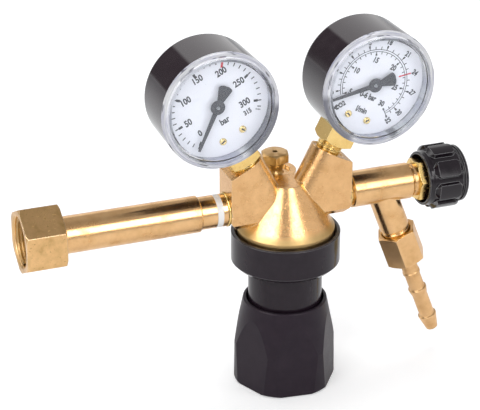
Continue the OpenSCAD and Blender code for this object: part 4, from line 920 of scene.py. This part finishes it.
def softWindow(tree, direction, box):  # soft-edged rectangle in one direction of the room
    azimuth, elevation = math.radians(box["azimuth"]), math.radians(box["elevation"])
    level = math.cos(elevation)
    ahead = Vector((math.sin(azimuth) * level, -math.cos(azimuth) * level, math.sin(elevation)))
    side = Vector((math.cos(azimuth), math.sin(azimuth), 0))
    cover = None
    for axis, half in ((side, box["width"]), (ahead.cross(side), box["height"])):
        offset = vectorNode(tree, 'DOT_PRODUCT', direction, axis).outputs['Value']
        reach = mathNode(tree, 'SUBTRACT', half, mathNode(tree, 'ABSOLUTE', offset))
        edge = mathNode(tree, 'DIVIDE', reach, box["soft"], clamp=True)
        cover = edge if cover is None else mathNode(tree, 'MULTIPLY', cover, edge)
    front = vectorNode(tree, 'DOT_PRODUCT', direction, ahead).outputs['Value']
    cover = mathNode(tree, 'MULTIPLY', cover, mathNode(tree, 'GREATER_THAN', front, 0.0))
    return mathNode(tree, 'MULTIPLY', cover, box["level"])


def makeWorld():
    world = bpy.data.worlds.new("studioWorld")
    bpy.context.scene.world = world
    world.use_nodes = True
    tree = world.node_tree
    tree.nodes.clear()
    out = tree.nodes.new('ShaderNodeOutputWorld')
    path = tree.nodes.new('ShaderNodeLightPath')
    direction = tree.nodes.new('ShaderNodeTexCoord').outputs['Generated']
    split = tree.nodes.new('ShaderNodeSeparateXYZ')
    tree.links.new(direction, split.inputs[0])
    height = mathNode(tree, 'ADD', mathNode(tree, 'MULTIPLY', split.outputs['Z'], 0.5), 0.5)
    level = rampNode(tree, height, room["height"])
    shade = softWindow(tree, direction, room["darkWall"])
    level = mathNode(tree, 'MULTIPLY', level, mathNode(tree, 'SUBTRACT', 1.0, shade))
    for box in room["windows"]:
        level = mathNode(tree, 'MAXIMUM', level, softWindow(tree, direction, box))
    white = tree.nodes.new('ShaderNodeBackground')  # what the camera and the lenses see
    white.inputs[1].default_value = 1.0
    glossy = tree.nodes.new('ShaderNodeBackground')
    tree.links.new(level, glossy.inputs[0])
    diffuse = tree.nodes.new('ShaderNodeBackground')
    diffuse.inputs[0].default_value = room["fill"]
    diffuse.inputs[1].default_value = room["fillLevel"]
    first = tree.nodes.new('ShaderNodeMixShader')
    second = tree.nodes.new('ShaderNodeMixShader')
    tree.links.new(path.outputs['Is Glossy Ray'], first.inputs[0])
    tree.links.new(diffuse.outputs[0], first.inputs[1])
    tree.links.new(glossy.outputs[0], first.inputs[2])
    seen = mathNode(tree, 'MAXIMUM', path.outputs['Is Camera Ray'], path.outputs['Is Transmission Ray'])
    tree.links.new(seen, second.inputs[0])
    tree.links.new(first.outputs[0], second.inputs[1])
    tree.links.new(white.outputs[0], second.inputs[2])
    tree.links.new(second.outputs[0], out.inputs[0])


# lamps and camera

lampTarget = (0.13, 0.0, 0.0)
lamps = {
    "keyBox": {"place": (-0.75, -0.75, 0.95), "width": 0.8, "height": 0.6, "power": 7.6},
    "fillBox": {"place": (1.05, -0.80, 0.45), "width": 0.5, "height": 0.9, "power": 3.4},
    "topBox": {"place": (0.15, 0.25, 1.10), "width": 0.9, "height": 0.5, "power": 4.6},
}
photoCamera = {"place": (-0.19632, -0.83561, 0.42570), "turn": (64.54, 0.0, -20.42), "lens": 139.47,
               "sensor": 36.0, "clipStart": 0.01}


def makeLamp(name, fit):
    data = bpy.data.lights.new(name, 'AREA')
    data.shape = 'RECTANGLE'
    data.size, data.size_y = fit["width"], fit["height"]
    data.energy = fit["power"]
    lamp = bpy.data.objects.new(name, data)
    bpy.context.scene.collection.objects.link(lamp)
    lamp.location = fit["place"]
    lamp.visible_glossy = False
    lamp.rotation_euler = (Vector(lampTarget) - Vector(fit["place"])).to_track_quat('-Z', 'Y').to_euler()


def makeCamera():
    data = bpy.data.cameras.new("photoCamera")
    data.lens = photoCamera["lens"]
    data.sensor_width = photoCamera["sensor"]
    data.clip_start = photoCamera["clipStart"]
    camera = bpy.data.objects.new("photoCamera", data)
    bpy.context.scene.collection.objects.link(camera)
    camera.location = photoCamera["place"]
    camera.rotation_euler = [math.radians(a) for a in photoCamera["turn"]]
    bpy.context.scene.camera = camera


makeFloor()
makeWorld()
for name, fit in lamps.items():
    makeLamp(name, fit)
makeCamera()
bpy.context.scene.view_settings.view_transform = 'Standard'
print("studio done")
